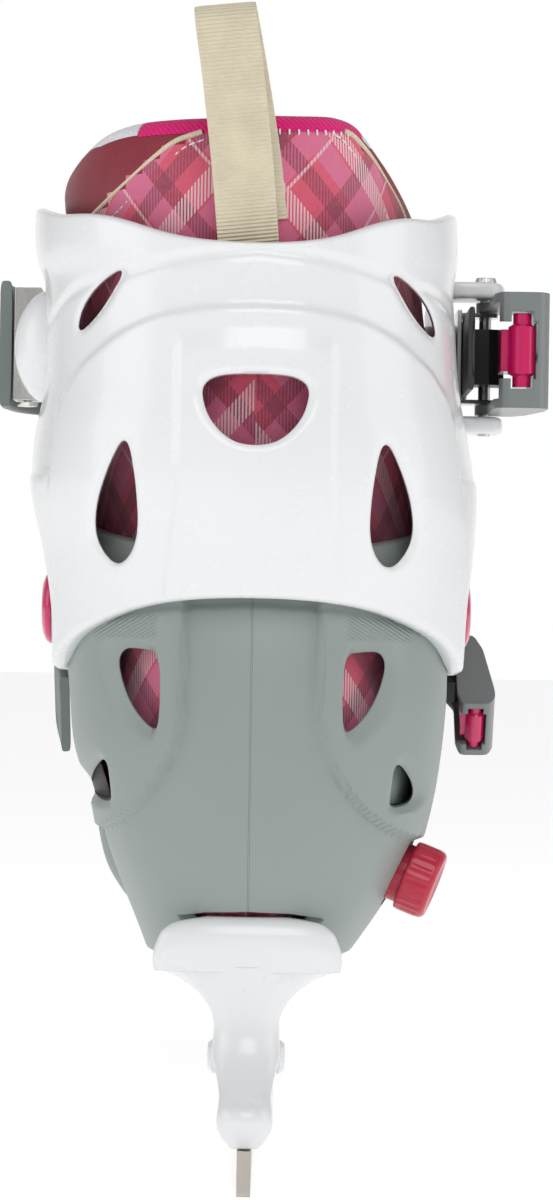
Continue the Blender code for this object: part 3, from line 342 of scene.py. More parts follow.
# ---- Heel shell ----
# The rear half of the hard boot, moulded in grey: a wall round the heel on a flat sole. Raised wings run down both
# sides of a plain middle panel, four windows have wide bevelled rims, and fine ribs fill the zone above them.
SIDE_Y = -0.0500
HEEL_STATIONS = (  # height, inner half-width, outer half-width, rearmost y
    (0.0495, 0.0240, 0.0240, -0.0925), (0.0560, 0.0265, 0.0285, -0.0980), (0.0645, 0.0300, 0.0338, -0.1035),
    (0.0750, 0.0338, 0.0385, -0.1080), (0.0855, 0.0362, 0.0412, -0.1105), (0.0980, 0.0400, 0.0430, -0.1118),
    (0.1075, 0.0410, 0.0438, -0.1118), (0.1200, 0.0420, 0.0440, -0.1108), (0.1292, 0.0428, 0.0443, -0.1090),
    (0.1400, 0.0428, 0.0443, -0.1072), (0.1510, 0.0425, 0.0440, -0.1040),
)
HEEL_TOP = ((-0.1120, 0.1430), (-0.0900, 0.1465), (-0.0700, 0.1490), (-0.0550, 0.1490), (-0.0400, 0.1430),
            (-0.0200, 0.1240), (0.0050, 0.1080), (0.0300, 0.0970))
HEEL_BOTTOM = ((-0.1120, 0.0495), (0.0300, 0.0495))
HEEL_SPINE_Y = -0.0750


def horseshoe(u, inner, outer, nose_y, end_y, side_y=SIDE_Y, pinch=0.0):
    """Points of a U in plan: u runs -1 to 1 from the inner end round the nose to the outer end.

    The middle part is a squarish half ellipse from the nose to side_y, and the rest is a side that narrows
    by pinch on its way to end_y.
    """
    bend = 0.66
    power = 0.88
    turn = np.minimum(np.abs(u) / bend, 1.0) * (math.pi / 2)
    side = np.clip((np.abs(u) - bend) / (1 - bend), 0, 1)
    width = np.where(u < 0, inner, outer)
    x = np.sign(u) * width * np.abs(np.sin(turn)) ** power * (1 - pinch * side**2)
    y = side_y + (nose_y - side_y) * np.abs(np.cos(turn)) ** power + (end_y - side_y) * side
    return x, y


def boot_wall(stations, bottom, top, end_y, u, v, grow=0.0, pinch=0.0, nose=-0.1120):
    """The grid of a wall that wraps round the heel, between two edges given by (y, z) stations.

    u runs round the wall and v up it, and grow, a number or a grid, moves the surface outwards.
    """
    _, y_guide = horseshoe(u, 1.0, 1.0, nose, end_y)
    low, high = through(bottom, y_guide), through(top, y_guide)
    z = low + (high - low) * v
    x, y = horseshoe(u + 0 * v, through(stations, z, 1) + grow, through(stations, z, 2) + grow,
                     through(stations, z, 3) - grow, end_y, pinch=pinch)
    return np.stack([x, y, z], -1)


def eased(t):
    """Clipped to 0 to 1, with a soft start and end."""
    t = np.clip(t, 0, 1)
    return t * t * (3 - 2 * t)


def spread_ends(count, share=0.35):
    """Places from 0 to 1 that crowd towards both ends, as a rounded rim needs."""
    t = np.linspace(0, 1, count)
    return (1 - share) * t + share * (0.5 - 0.5 * np.cos(math.pi * t))


def rim(grid, radius):
    """How far the surface rolls in near the top and bottom rows: a quarter circle of that radius, as a drop."""
    up = grid[..., 2]
    near = np.minimum(up[-1:] - up, up - up[:1])
    gap = np.clip(1 - near / radius, 0, 1)
    return radius * (1 - np.sqrt(1 - gap * gap))


def outline_gap(x, z, corners):
    """Signed distance in the picture plane from points to a closed outline, less than 0 inside it."""
    a = np.array(corners, float)
    b = np.roll(a, -1, 0)
    px, pz = x[..., None], z[..., None]
    ex, ez = b[:, 0] - a[:, 0], b[:, 1] - a[:, 1]
    t = np.clip(((px - a[:, 0]) * ex + (pz - a[:, 1]) * ez) / (ex**2 + ez**2), 0, 1)
    far = np.sqrt((px - a[:, 0] - t * ex) ** 2 + (pz - a[:, 1] - t * ez) ** 2).min(-1)
    above = (a[:, 1] > pz) != (b[:, 1] > pz)
    crossing = above & (px < ex * (pz - a[:, 1]) / np.where(ez == 0, 1e-9, ez) + a[:, 0])
    return np.where(crossing.sum(-1) % 2 == 1, -far, far)


def soften(corners, rounds=3):
    """A closed outline with its corners cut again and again at a quarter and three quarters of each side."""
    points = np.array(corners, float)
    for _ in range(rounds):
        after = np.roll(points, -1, 0)
        points = np.stack([0.75 * points + 0.25 * after, 0.25 * points + 0.75 * after], 1).reshape(-1, 2)
    return points


def both_sides(corners):
    """An outline on the outer side and its mirror image on the inner side."""
    corners = np.asarray(corners)
    return [corners, (corners * (-1, 1))[::-1]]


def two_skins(outer, inner):
    """A closed wall from two grids of one size: both skins, and a strip of faces round all four borders."""
    rows, columns = outer.shape[:2]
    count = rows * columns
    index = np.arange(count).reshape(rows, columns)
    border = np.concatenate([index[0, :-1], index[:-1, -1], index[-1, :0:-1], index[:0:-1, 0]])
    after = np.roll(border, -1)
    strip = np.stack([after, border, border + count, after + count], -1)
    faces = np.concatenate([quads_of(rows, columns), quads_of(rows, columns, flip=True, start=count), strip])
    return np.concatenate([outer.reshape(-1, 3), inner.reshape(-1, 3)]), faces


def with_floor(wall, spine_y):
    """The wall's grid with a flat floor: rows that run from the boot's middle line out to the lowest row."""
    edge = wall[0]
    beyond = edge[:, 1] < spine_y if spine_y < 0 else edge[:, 1] > spine_y
    middle = np.stack([0 * edge[:, 0], np.where(beyond, spine_y, edge[:, 1]), edge[:, 2]], -1)
    return np.concatenate([[middle, (middle + edge) / 2], wall])


UPPER_WINDOW = soften(((0.0203, 0.1196), (0.0250, 0.1203), (0.0290, 0.1203), (0.0303, 0.1165), (0.0272, 0.1075),
                       (0.0216, 0.1016), (0.0203, 0.1040)))
UPPER_RIM = soften(((0.0196, 0.1218), (0.0240, 0.1232), (0.0305, 0.1236), (0.0344, 0.1180), (0.0310, 0.1060),
                    (0.0235, 0.0985), (0.0196, 0.0995)))
LOWER_WINDOW = soften(((0.0326, 0.0965), (0.0372, 0.0905), (0.0370, 0.0858), (0.0316, 0.0846), (0.0316, 0.0880)))
LOWER_RIM = soften(((0.0318, 0.0985), (0.0398, 0.0920), (0.0392, 0.0845), (0.0292, 0.0830), (0.0290, 0.0880)))
WING_EDGE = ((0.0740, 0.0450), (0.0762, 0.0393), (0.0785, 0.0336), (0.0830, 0.0268), (0.0890, 0.0214),
             (0.0960, 0.0176), (0.1036, 0.0156), (0.1150, 0.0150), (0.1300, 0.0148))  # height, x of its edge


def heel_relief(grid):
    """How far the heel shell stands out from its plain form, from the wings, rims and lip."""
    x, y, z = np.abs(grid[..., 0]), grid[..., 1], grid[..., 2]
    behind = eased((-0.045 - y) / 0.02)
    wing = eased((x - through(WING_EDGE, z)) / 0.0012 + 0.5) * eased((z - 0.0745) / 0.002)
    out = 0.0021 * wing * behind
    for window, bevel, depth in ((UPPER_WINDOW, UPPER_RIM, 0.0022), (LOWER_WINDOW, LOWER_RIM, 0.0016)):
        inside = -outline_gap(x, z, bevel)
        left = np.maximum(outline_gap(x, z, window), 0)
        share = np.clip(inside, 0, None) / np.maximum(np.clip(inside, 0, None) + left, 1e-6)
        out = out - depth * share**1.3 * (inside > 0) * behind
    lip = 0.1298 - 0.0052 * (x / 0.036) ** 2.2
    return out - 0.0007 * eased((z - lip) / 0.0006)


u = np.linspace(-1, 1, 321)[None, :]
v = spread_ends(121)[:, None]
plain = boot_wall(HEEL_STATIONS, HEEL_BOTTOM, HEEL_TOP, 0.0300, u, v)
relief = heel_relief(plain) - rim(plain, 0.0009)
skin = boot_wall(HEEL_STATIONS, HEEL_BOTTOM, HEEL_TOP, 0.0300, u, v, relief)
lining = boot_wall(HEEL_STATIONS, HEEL_BOTTOM, HEEL_TOP, 0.0300, u, v, -0.0030 + rim(plain, 0.0006))
lining[..., 2] = np.maximum(lining[..., 2], 0.0525)
heel_parts = two_skins(with_floor(skin, HEEL_SPINE_Y), with_floor(lining, HEEL_SPINE_Y))

GREY = (0.275, 0.318, 0.304)
heel_finish, tree, bump, coords = moulded("grey_shell", GREY, 0.42, grain=0.00002, edge=0.0006)


def math_node(tree, operation, first, second=0.0, third=0.0):
    """One arithmetic step on values or links; returns its output."""
    made = add(tree, "Math", {0: first, 1: second, 2: third}, operation=operation)
    return made.outputs["Value"]


def band(tree, value, centre, half, soft):
    """1 where value is within half of centre, falling to 0 over soft."""
    gap = math_node(tree, "ABSOLUTE", math_node(tree, "SUBTRACT", value, centre))
    fall = add(tree, "MapRange", {"Value": gap, "From Min": half, "From Max": half + soft, "To Min": 1.0,
                                  "To Max": 0.0})
    return fall.outputs["Result"]


# Fine slanting ribs above the windows, and the thin line that the mould's two halves leave down the middle.
place = add(tree, "SeparateXYZ", {"Vector": coords})
x, z = place.outputs["X"], place.outputs["Z"]
side = math_node(tree, "ABSOLUTE", x)
slant = math_node(tree, "MULTIPLY_ADD", side, 0.62, z)
ribs = math_node(tree, "SINE", math_node(tree, "MULTIPLY", slant, 2 * math.pi / 0.00085))
zone = math_node(tree, "MULTIPLY", band(tree, side, 0.0285, 0.0068, 0.0012), band(tree, z, 0.1252, 0.0022, 0.0010))
back = add(tree, "MapRange", {"Value": place.outputs["Y"], "From Min": -0.060, "From Max": -0.070})
zone = math_node(tree, "MULTIPLY", zone, back.outputs["Result"])
seam = band(tree, x, 0.0, 0.00012, 0.00012)
marks = math_node(tree, "MULTIPLY_ADD", ribs, math_node(tree, "MULTIPLY", zone, 0.5), seam)
relief_bump = add(tree, "Bump", {"Height": marks, "Distance": 0.00018, "Strength": 1.0,
                                 "Normal": bump.outputs["Normal"]})
tree.links.new(relief_bump.outputs["Normal"], tree.nodes["Principled BSDF"].inputs["Normal"])

heel = tidy(mesh_piece("heel_moulding", [heel_parts], [heel_finish]))
notch = [(-0.0195, 0.040), (-0.0192, 0.0570), (-0.0165, 0.0599), (-0.0095, 0.0612), (0, 0.0616), (0.0095, 0.0612),
         (0.0165, 0.0599), (0.0192, 0.0570), (0.0195, 0.040)]
openings = [(np.array([(px, -0.118, pz) for px, pz in notch]), (0, 0.0240, 0))]
for outline in both_sides(UPPER_WINDOW):
    openings.append((np.array([(px, -0.118, pz) for px, pz in outline]), (0, 0.036, 0)))
for outline in both_sides(LOWER_WINDOW):
    openings.append((np.array([(px, -0.114, pz) for px, pz in outline]), (0, 0.050, 0)))


def round_hole(centre, axis, radius, length, sides=40):
    """A round prism that starts at centre and runs length along axis."""
    axis = Vector(axis).normalized()
    across = axis.orthogonal().normalized()
    up = axis.cross(across)
    turn = np.linspace(0, 2 * math.pi, sides, endpoint=False)[:, None]
    ring = np.array(centre) + radius * (np.cos(turn) * np.array(across) + np.sin(turn) * np.array(up))
    return ring, tuple(axis * length)


BUTTON_AT = Vector((0.0343, -0.0650, 0.0690))
BUTTON_AXIS = Vector((0.925, -0.130, -0.357)).normalized()
PIVOT = Vector((0, -0.0550, 0.1292))
openings.append(round_hole(PIVOT + Vector((-0.06, 0, 0)), (1, 0, 0), 0.0033, 0.12))
openings.append(round_hole(BUTTON_AT - BUTTON_AXIS * 0.0006, BUTTON_AXIS, 0.0089, 0.02))
for bolt_y in (-0.0660, 0.0120):
    openings.append(round_hole((0, bolt_y, 0.040), (0, 0, 1), 0.0028, 0.018))
carve(heel, prisms("heel_openings", openings), overlapping=True)
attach(heel, "boot")
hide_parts("heel_shell")


# ---- Toe shell ----
# The front half of the hard boot, in the same grey: a round toe cap on a flat sole. Its rear slides inside the heel
# shell, and a notched bar on its floor meets the size button's catch.
TOE_STATIONS = (  # height, half-width, foremost y
    (0.0530, 0.0330, 0.1230), (0.0600, 0.0375, 0.1310), (0.0700, 0.0405, 0.1345), (0.0800, 0.0413, 0.1330),
    (0.0900, 0.0402, 0.1240), (0.0980, 0.0385, 0.1090), (0.1050, 0.0370, 0.0900), (0.1130, 0.0350, 0.0680),
)
TOE_TOP = ((-0.0120, 0.0900), (0.0300, 0.0990), (0.0600, 0.1080), (0.1000, 0.1050), (0.1345, 0.1010))


def forefoot(u, height, grow=0.0, rear_y=-0.0120):
    """Points of the toe shell in plan: u runs -1 to 1 from the outer rear end round the toe to the inner."""
    bend, power, widest_y = 0.60, 0.92, 0.0720
    turn = np.minimum(np.abs(u) / bend, 1.0) * (math.pi / 2)
    side = np.clip((np.abs(u) - bend) / (1 - bend), 0, 1)
    nose = through(TOE_STATIONS, height, 2) + grow
    y = np.minimum(nose, widest_y) + np.maximum(nose - widest_y, 0) * np.abs(np.cos(turn)) ** power
    y = y + (rear_y - np.minimum(nose, widest_y)) * side
    rear = np.where(u < 0, through(HEEL_STATIONS, height, 2), through(HEEL_STATIONS, height, 1)) - 0.0038
    flare = eased((y - 0.0390) / 0.020)
    width = rear + (through(TOE_STATIONS, height, 1) - rear) * flare + grow
    return -np.sign(u) * width * np.abs(np.sin(turn)) ** power, y


u = np.linspace(-1, 1, 241)[None, :]
v = spread_ends(71)[:, None]
_, guide = forefoot(u, np.full_like(u, 0.075))
z = 0.0530 + (through(TOE_TOP, guide) - 0.0530) * v


def toe_grid(grow):
    """The toe shell's wall as a grid, moved out by grow."""
    px, py = forefoot(u + 0 * v, z, grow)
    return np.stack([px, py, z], -1)


plain = toe_grid(0.0)
cap_line = np.abs(plain[..., 2] - 0.0900 - 0.10 * (plain[..., 1] - 0.09)) - 0.0006
toe_relief = -0.0006 * eased(1 - cap_line / 0.0008) * eased((plain[..., 1] - 0.045) / 0.004) - rim(plain, 0.0009)
inside = toe_grid(-0.0030 + rim(plain, 0.0006))
inside[..., 2] = np.maximum(inside[..., 2], 0.0560)
toe_skins = two_skins(with_floor(toe_grid(toe_relief), 0.0950), with_floor(inside, 0.0950))
toe = mesh_piece("toe_moulding", [toe_skins], [heel_finish])
tidy(toe)
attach(toe, "toe")
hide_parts("toe_shell")
black_plastic, _, _, _ = moulded("black_plastic", (0.022, 0.022, 0.024), 0.38, edge=0.0003, spread=0.10)
dress(black_plastic, "size_rack", "pivot_washer_inner", "pivot_washer_outer")


# ---- Cuff ----
# The glossy white cuff that turns on the two pivots, one moulding. A raised arch and a raised middle panel stiffen
# it, five vents with rounded lips cool the ankle, and lugs at its outer edge carry the buckle's pin.
CUFF_STATIONS = (  # height, inner half-width, outer half-width, rearmost y
    (0.1120, 0.0468, 0.0488, -0.1100), (0.1203, 0.0472, 0.0498, -0.1115), (0.1320, 0.0480, 0.0506, -0.1132),
    (0.1414, 0.0492, 0.0511, -0.1147), (0.1589, 0.0527, 0.0515, -0.1165), (0.1688, 0.0523, 0.0500, -0.1165),
    (0.1797, 0.0503, 0.0478, -0.1155), (0.1960, 0.0500, 0.0464, -0.1145), (0.2062, 0.0507, 0.0460, -0.1140),
    (0.2098, 0.0520, 0.0466, -0.1137), (0.2240, 0.0530, 0.0462, -0.1130),
)
CUFF_TOP = ((-0.1135, 0.2108), (-0.1120, 0.2117), (-0.1060, 0.2155), (-0.0850, 0.2190), (-0.0600, 0.2225),
            (-0.0400, 0.2228), (-0.0200, 0.2175), (0.0030, 0.2040))
CUFF_BOTTOM = ((-0.1135, 0.1319), (-0.1080, 0.1300), (-0.1000, 0.1268), (-0.0880, 0.1225), (-0.0720, 0.1162),
               (-0.0550, 0.1147), (-0.0400, 0.1185), (-0.0250, 0.1350), (-0.0120, 0.1560), (0.0030, 0.1700))
UPPER_SLIT = soften(((0.0290, 0.2062), (0.0355, 0.2026), (0.0395, 0.1975), (0.0408, 0.1925), (0.0395, 0.1917),
                     (0.0345, 0.1966)))
LOWER_VENT = soften(((0.0286, 0.1690), (0.0330, 0.1605), (0.0358, 0.1510), (0.0352, 0.1435), (0.0300, 0.1378),
                     (0.0255, 0.1440), (0.0262, 0.1570)))
MIDDLE_VENT = soften(((-0.0122, 0.1806), (0, 0.1818), (0.0122, 0.1806), (0.0112, 0.1725), (0.0060, 0.1666),
                      (0, 0.1653), (-0.0060, 0.1666), (-0.0112, 0.1725)))
ARCH = ((0.0, 0.1966), (0.0140, 0.1957), (0.0263, 0.1926), (0.0350, 0.1872), (0.0407, 0.1815), (0.0440, 0.1750),
        (0.0456, 0.1676), (0.0462, 0.1600))  # half-width, height of the raised arch
SHOULDER = ((0.0, 0.2090), (0.0181, 0.2068), (0.0330, 0.2030), (0.0435, 0.1998), (0.0489, 0.1945))


def cuff_relief(grid):
    """How far the cuff stands out from its plain form: arch, shoulder line, middle panel and rolled vent lips."""
    x, y, z = np.abs(grid[..., 0]), grid[..., 1], grid[..., 2]
    behind = eased((-0.052 - y) / 0.025)
    slope = (through(ARCH, x + 0.0005) - through(ARCH, x - 0.0005)) / 0.0010
    under = (through(ARCH, x) - z) / np.hypot(1, slope)
    out = 0.0014 * eased(under / 0.0022 + 0.5) * behind
    line = np.abs(z - through(SHOULDER, x)) / 0.0012
    out = out - 0.0008 * np.exp(-line * line) * behind
    panel = 0.0168 + 0.10 * np.clip(0.155 - z, 0, 1)
    out = out + 0.0010 * eased((panel - x) / 0.0026 + 0.5) * behind * eased((under - 0.004) / 0.006)
    for outline in (UPPER_SLIT, LOWER_VENT, MIDDLE_VENT):
        lip = np.clip(1 - np.maximum(outline_gap(x, z, outline), 0) / 0.0017, 0, 1)
        out = out - 0.0015 * (1 - np.sqrt(1 - lip**2 * 0.96)) * behind
    return out


u = np.linspace(-1, 1, 341)[None, :]
v = spread_ends(131)[:, None]
shape = dict(pinch=0.04, nose=-0.1135)
plain = boot_wall(CUFF_STATIONS, CUFF_BOTTOM, CUFF_TOP, 0.0030, u, v, **shape)
dish = 0.0016 * eased((0.0185 - np.hypot(plain[..., 1] - PIVOT.y, plain[..., 2] - PIVOT.z)) / 0.0050)
outward = cuff_relief(plain) - rim(plain, 0.0012) - dish
skin = boot_wall(CUFF_STATIONS, CUFF_BOTTOM, CUFF_TOP, 0.0030, u, v, outward, **shape)
outward = rim(plain, 0.0010) - 0.0030 - dish
lining = boot_wall(CUFF_STATIONS, CUFF_BOTTOM, CUFF_TOP, 0.0030, u, v, outward, **shape)
cuff_finish, _, _, _ = moulded("white_cuff", (0.82, 0.83, 0.84), 0.26, edge=0.0007, coat=0.4, spread=0.012)
turn = np.linspace(0, 2 * math.pi, 49)[None, :-1]
rise = np.linspace(0, math.pi / 2, 14)[:, None]
boss = np.stack([-0.0490 - 0.0085 * np.sin(rise) + 0 * turn, -0.0520 + 0.0100 * np.cos(rise) * np.cos(turn),
                 0.1905 + 0.0134 * np.cos(rise) * np.sin(turn)], -1)
boss = np.concatenate([boss[:1] + (0.004, 0, 0), boss])
cuff = tidy(mesh_piece("cuff_moulding", [two_skins(skin, lining)], [cuff_finish]))
openings = [(np.array([(px, -0.125, pz) for px, pz in MIDDLE_VENT]), (0, 0.030, 0))]
for outline in both_sides(LOWER_VENT):
    openings.append((np.array([(px, -0.122, pz) for px, pz in outline]), (0, 0.042, 0)))
for outline in both_sides(UPPER_SLIT):
    openings.append((np.array([(px, -0.116, pz) for px, pz in outline]), (0, 0.048, 0)))
openings.append(round_hole(PIVOT + Vector((-0.07, 0, 0)), (1, 0, 0), 0.0033, 0.14))
for face, way in ((-0.0470, -1), (0.0482, 1)):
    openings.append(round_hole(PIVOT + Vector((face, 0, 0)), (way, 0, 0), 0.0089, 0.02, 64))
carve(cuff, prisms("cuff_openings", openings))


def slab(corners, low, high, rounding, steps=5):
    """A flat plate from a closed (x, y) outline between two heights, its top and bottom edges rolled."""
    corners = np.asarray(corners, float)
    centre = corners.mean(0)
    turn = np.linspace(0, math.pi / 2, steps)
    drops = np.concatenate([rounding * (1 - np.sin(turn)), rounding * (1 - np.sin(turn[::-1]))])
    levels = np.concatenate([low + rounding * (1 - np.cos(turn)), high - rounding * (1 - np.cos(turn[::-1]))])
    arms = corners - centre
    reach = np.linalg.norm(arms, axis=1, keepdims=True)
    rings = [np.column_stack([centre + arms * (1 - drop / reach), np.full(len(arms), level)])
             for drop, level in zip(drops, levels)]
    return closed_loft(rings)


lug = soften([(0.0425, -0.0150), (0.0585, -0.0150), (0.0610, -0.0060), (0.0600, 0.0030), (0.0540, 0.0040),
              (0.0430, 0.0020)])
top = np.concatenate([boss, boss[-1:].mean(1, keepdims=True) + 0 * boss[-1:]])
trim = mesh_piece("cuff_boss_and_lugs", [
    (top, quads_of(len(top), top.shape[1], ring=True)),
    slab(lug, 0.1735, 0.1775, 0.0012),
    slab(lug, 0.2065, 0.2105, 0.0012),
], [cuff_finish])
tidy(trim)
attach(cuff, "cuff")
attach(trim, "cuff")
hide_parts("cuff")


# ---- Pivots ----
# On each side a steel rivet joins shell and cuff, and a glossy pink cap is pressed over its head.
def turned(profile, start, axis, sides=72):
    """A body of revolution: a profile of (radius, distance along axis) pairs, listed from the tip to the foot."""
    axis = Vector(axis).normalized()
    across = axis.orthogonal().normalized()
    up = axis.cross(across)
    rows = np.array(profile, float)[:, :, None]
    turn = np.linspace(0, 2 * math.pi, sides, endpoint=False)
    ring = np.cos(turn)[:, None] * np.array(across) + np.sin(turn)[:, None] * np.array(up)
    grid = np.array(start) + rows[:, 0, :, None] * ring[None] + rows[:, 1, :, None] * np.array(axis)
    return grid, quads_of(len(grid), sides, ring=True, flip=True)


def bent(points, steps=5):
    """A profile with every corner rounded: each is replaced by a quadratic bend over a third of its sides."""
    points = np.array(points, float)
    out = [points[:1]]
    t = np.linspace(0, 1, steps)[:, None]
    for before, here, after in zip(points[:-2], points[1:-1], points[2:]):
        a, b = here + (before - here) * 0.33, here + (after - here) * 0.33
        out.append(a * (1 - t) ** 2 + here * 2 * t * (1 - t) + b * t * t)
    return np.concatenate(out + [points[-1:]])


pink_finish, _, _, _ = moulded("hot_pink_gloss", (0.60, 0.004, 0.105), 0.22, edge=0.0004, coat=0.5, spread=0.04)
for side_name, way, face in (("inner", -1, 0.0470), ("outer", 1, 0.0482)):
    dome = [(0, 0.0026), (0.0030, 0.0026), (0.0060, 0.0023), (0.0079, 0.0015), (0.0086, 0.0006), (0.0086, 0.0),
            (0, 0.0)]
    seat = PIVOT + Vector((way * (face + 0.0003), 0, 0))
    cap = mesh_piece("pivot_cap_gloss_" + side_name, [turned(bent(dome), seat, (way, 0, 0))], [pink_finish])
    tidy(cap)
    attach(cap, "cuff")
    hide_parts("pivot_cap_" + side_name)


# ---- Inner boot ----
# A soft boot inside the hard one: foam between a printed pink tartan twill and a lining. Its heel panel ends in a
# cream piping with a line of stitching inside it, a magenta tape binds the top edge, and the inner side shows a
# dark red satin under a rolled edge of grey fleece.
def tartan():
    """Pink tartan twill set on the bias, from the piece's UV map in metres.

    Two families of bands cross at a right angle. One holds a white and a dark hatched band, the other a dark band
    and a thin white line. The pattern mirrors at the seam behind the heel, where U is 0.
    """
    finish, tree, shader, _ = new_material("tartan_twill", Roughness=0.86, Sheen_Weight=0.25, Sheen_Roughness=0.5)
    cloth = add(tree, "SeparateXYZ", {"Vector": add(tree, "UVMap", uv_map="cloth").outputs["UV"]})
    across, up = cloth.outputs["X"], cloth.outputs["Y"]
    away = math_node(tree, "ABSOLUTE", across)
    inner = math_node(tree, "MULTIPLY", math_node(tree, "LESS_THAN", across, 0.0), 0.0066)
    repeat = 0.020

    def family(rise, start, stops):
        """Shares of white, dark and mauve (red, green, blue) in bands whose place in the repeat is in stops."""
        run = math_node(tree, "MULTIPLY_ADD", away, 0.74, math_node(tree, "MULTIPLY", up, rise))
        if rise > 0:
            run = math_node(tree, "SUBTRACT", run, inner)
        share = math_node(tree, "FRACT", math_node(tree, "DIVIDE", math_node(tree, "SUBTRACT", run, start), repeat))
        ramp = add(tree, "ValToRGB", {"Fac": share})
        ramp.color_ramp.interpolation = "CONSTANT"
        while len(ramp.color_ramp.elements) < len(stops):
            ramp.color_ramp.elements.new(0.5)
        for element, (place, colour) in zip(ramp.color_ramp.elements, stops):
            element.position, element.color = place, colour + (1,)
        return add(tree, "SeparateColor", {"Color": ramp.outputs["Color"]})

    white, dark, mauve, none = (1, 0, 0), (0, 1, 0), (0, 0, 1), (0, 0, 0)
    falling = family(0.67, 0.1443, [(0.0, mauve), (0.26, none), (0.29, white), (0.52, none), (0.70, dark),
                                    (0.89, none)])
    rising = family(-0.67, -0.1640, [(0.0, none), (0.41, dark), (0.60, mauve), (0.90, none), (0.93, white),
                                     (0.968, none)])
    thread = math_node(tree, "SINE", math_node(tree, "MULTIPLY", across, 2 * math.pi / 0.00078))
    hatch = add(tree, "MapRange", {"Value": thread, "From Min": -0.35, "From Max": 0.15}).outputs["Result"]
    gap_hatch = add(tree, "MapRange", {"Value": thread, "From Min": 0.35, "From Max": -0.15}).outputs["Result"]
    light = math_node(tree, "MAXIMUM", math_node(tree, "MULTIPLY", falling.outputs["Red"], hatch),
                      math_node(tree, "MULTIPLY", rising.outputs["Red"], math_node(tree, "MAXIMUM", hatch, 0.35)))
    both = math_node(tree, "MULTIPLY", falling.outputs["Green"], rising.outputs["Green"])
    either = math_node(tree, "MAXIMUM", falling.outputs["Green"], rising.outputs["Green"])
    deep = math_node(tree, "MAXIMUM", both, math_node(tree, "MULTIPLY", either,
                                                      math_node(tree, "MAXIMUM", gap_hatch, 0.35)))
    soft = math_node(tree, "MAXIMUM", falling.outputs["Blue"], rising.outputs["Blue"])

    def over(below, colour, share):
        """A colour laid over another by a share."""
        mix = add(tree, "Mix", {"Factor": share}, data_type="RGBA")
        mix.inputs["B"].default_value = colour + (1,)
        if isinstance(below, tuple):
            mix.inputs["A"].default_value = below + (1,)
        else:
            tree.links.new(below, mix.inputs["A"])
        return mix.outputs["Result"]

    tint = over((0.70, 0.085, 0.155), (0.70, 0.15, 0.28), soft)
    tint = over(tint, (0.24, 0.035, 0.075), math_node(tree, "MULTIPLY", deep, 0.85))
    tint = over(tint, (0.86, 0.62, 0.66), math_node(tree, "MULTIPLY", light, 0.9))
    fuzz = add(tree, "TexNoise", {"Vector": add(tree, "TexCoord").outputs["Object"], "Scale": 900.0})
    tint = over(tint, (0.95, 0.45, 0.55), math_node(tree, "MULTIPLY", fuzz.outputs["Fac"], 0.12))
    tree.links.new(tint, shader.inputs["Base Color"])
    twill = math_node(tree, "MULTIPLY_ADD", up, 0.5, across)
    weave = math_node(tree, "SINE", math_node(tree, "MULTIPLY", twill, 2 * math.pi / 0.00039))
    bump = add(tree, "Bump", {"Height": weave, "Distance": 0.00006, "Strength": 0.7})
    tree.links.new(bump.outputs["Normal"], shader.inputs["Normal"])
    return finish


def cloth_finish(name, colour, pitch, slant=0.0, depth=0.00008, along=True, sheen=0.3, spread=0.06):
    """Ribbed or twilled cloth from the piece's UV map: raised threads every pitch, along U or V, with a slant."""
    finish, tree, shader, coords = new_material(name, Roughness=0.85, Sheen_Weight=sheen, Sheen_Roughness=0.45)
    mottled(tree, shader, coords, colour, spread, 160.0)
    cloth = add(tree, "SeparateXYZ", {"Vector": add(tree, "UVMap", uv_map="cloth").outputs["UV"]})
    first, other = ("X", "Y") if along else ("Y", "X")
    run = math_node(tree, "MULTIPLY_ADD", cloth.outputs[other], slant, cloth.outputs[first])
    ribs = math_node(tree, "SINE", math_node(tree, "MULTIPLY", run, 2 * math.pi / pitch))
    bump = add(tree, "Bump", {"Height": ribs, "Distance": depth, "Strength": 0.9})
    tree.links.new(bump.outputs["Normal"], shader.inputs["Normal"])
    return finish


def fleece(name, colour):
    """Short brushed pile: a crumbly bump from fine noise, with a strong sheen."""
    finish, tree, shader, coords = new_material(name, Roughness=0.95, Sheen_Weight=0.8, Sheen_Roughness=0.6)
    mottled(tree, shader, coords, colour, 0.10, 350.0)
    pile = add(tree, "TexNoise", {"Vector": coords, "Scale": 1500.0, "Detail": 5.0, "Roughness": 0.7})
    bump = add(tree, "Bump", {"Height": pile.outputs["Fac"], "Distance": 0.0004, "Strength": 0.9})
    tree.links.new(bump.outputs["Normal"], shader.inputs["Normal"])
    return finish


def map_cloth(made, across, up):
    """Writes the piece's UV map, in metres along the cloth, from one value a point."""
    layer = made.data.uv_layers.new(name="cloth")
    corners = np.zeros(len(made.data.loops), np.int32)
    made.data.loops.foreach_get("vertex_index", corners)
    both = np.stack([np.ravel(across)[corners], np.ravel(up)[corners]], -1)
    layer.data.foreach_set("uv", both.astype(np.float32).ravel())


def run_length(points):
    """Distance along each row of a grid, from its middle column, less than 0 before it."""
    step = np.linalg.norm(np.diff(points, axis=1), axis=-1)
    total = np.concatenate([0 * step[:, :1], np.cumsum(step, 1)], 1)
    return total - total[:, total.shape[1] // 2][:, None]


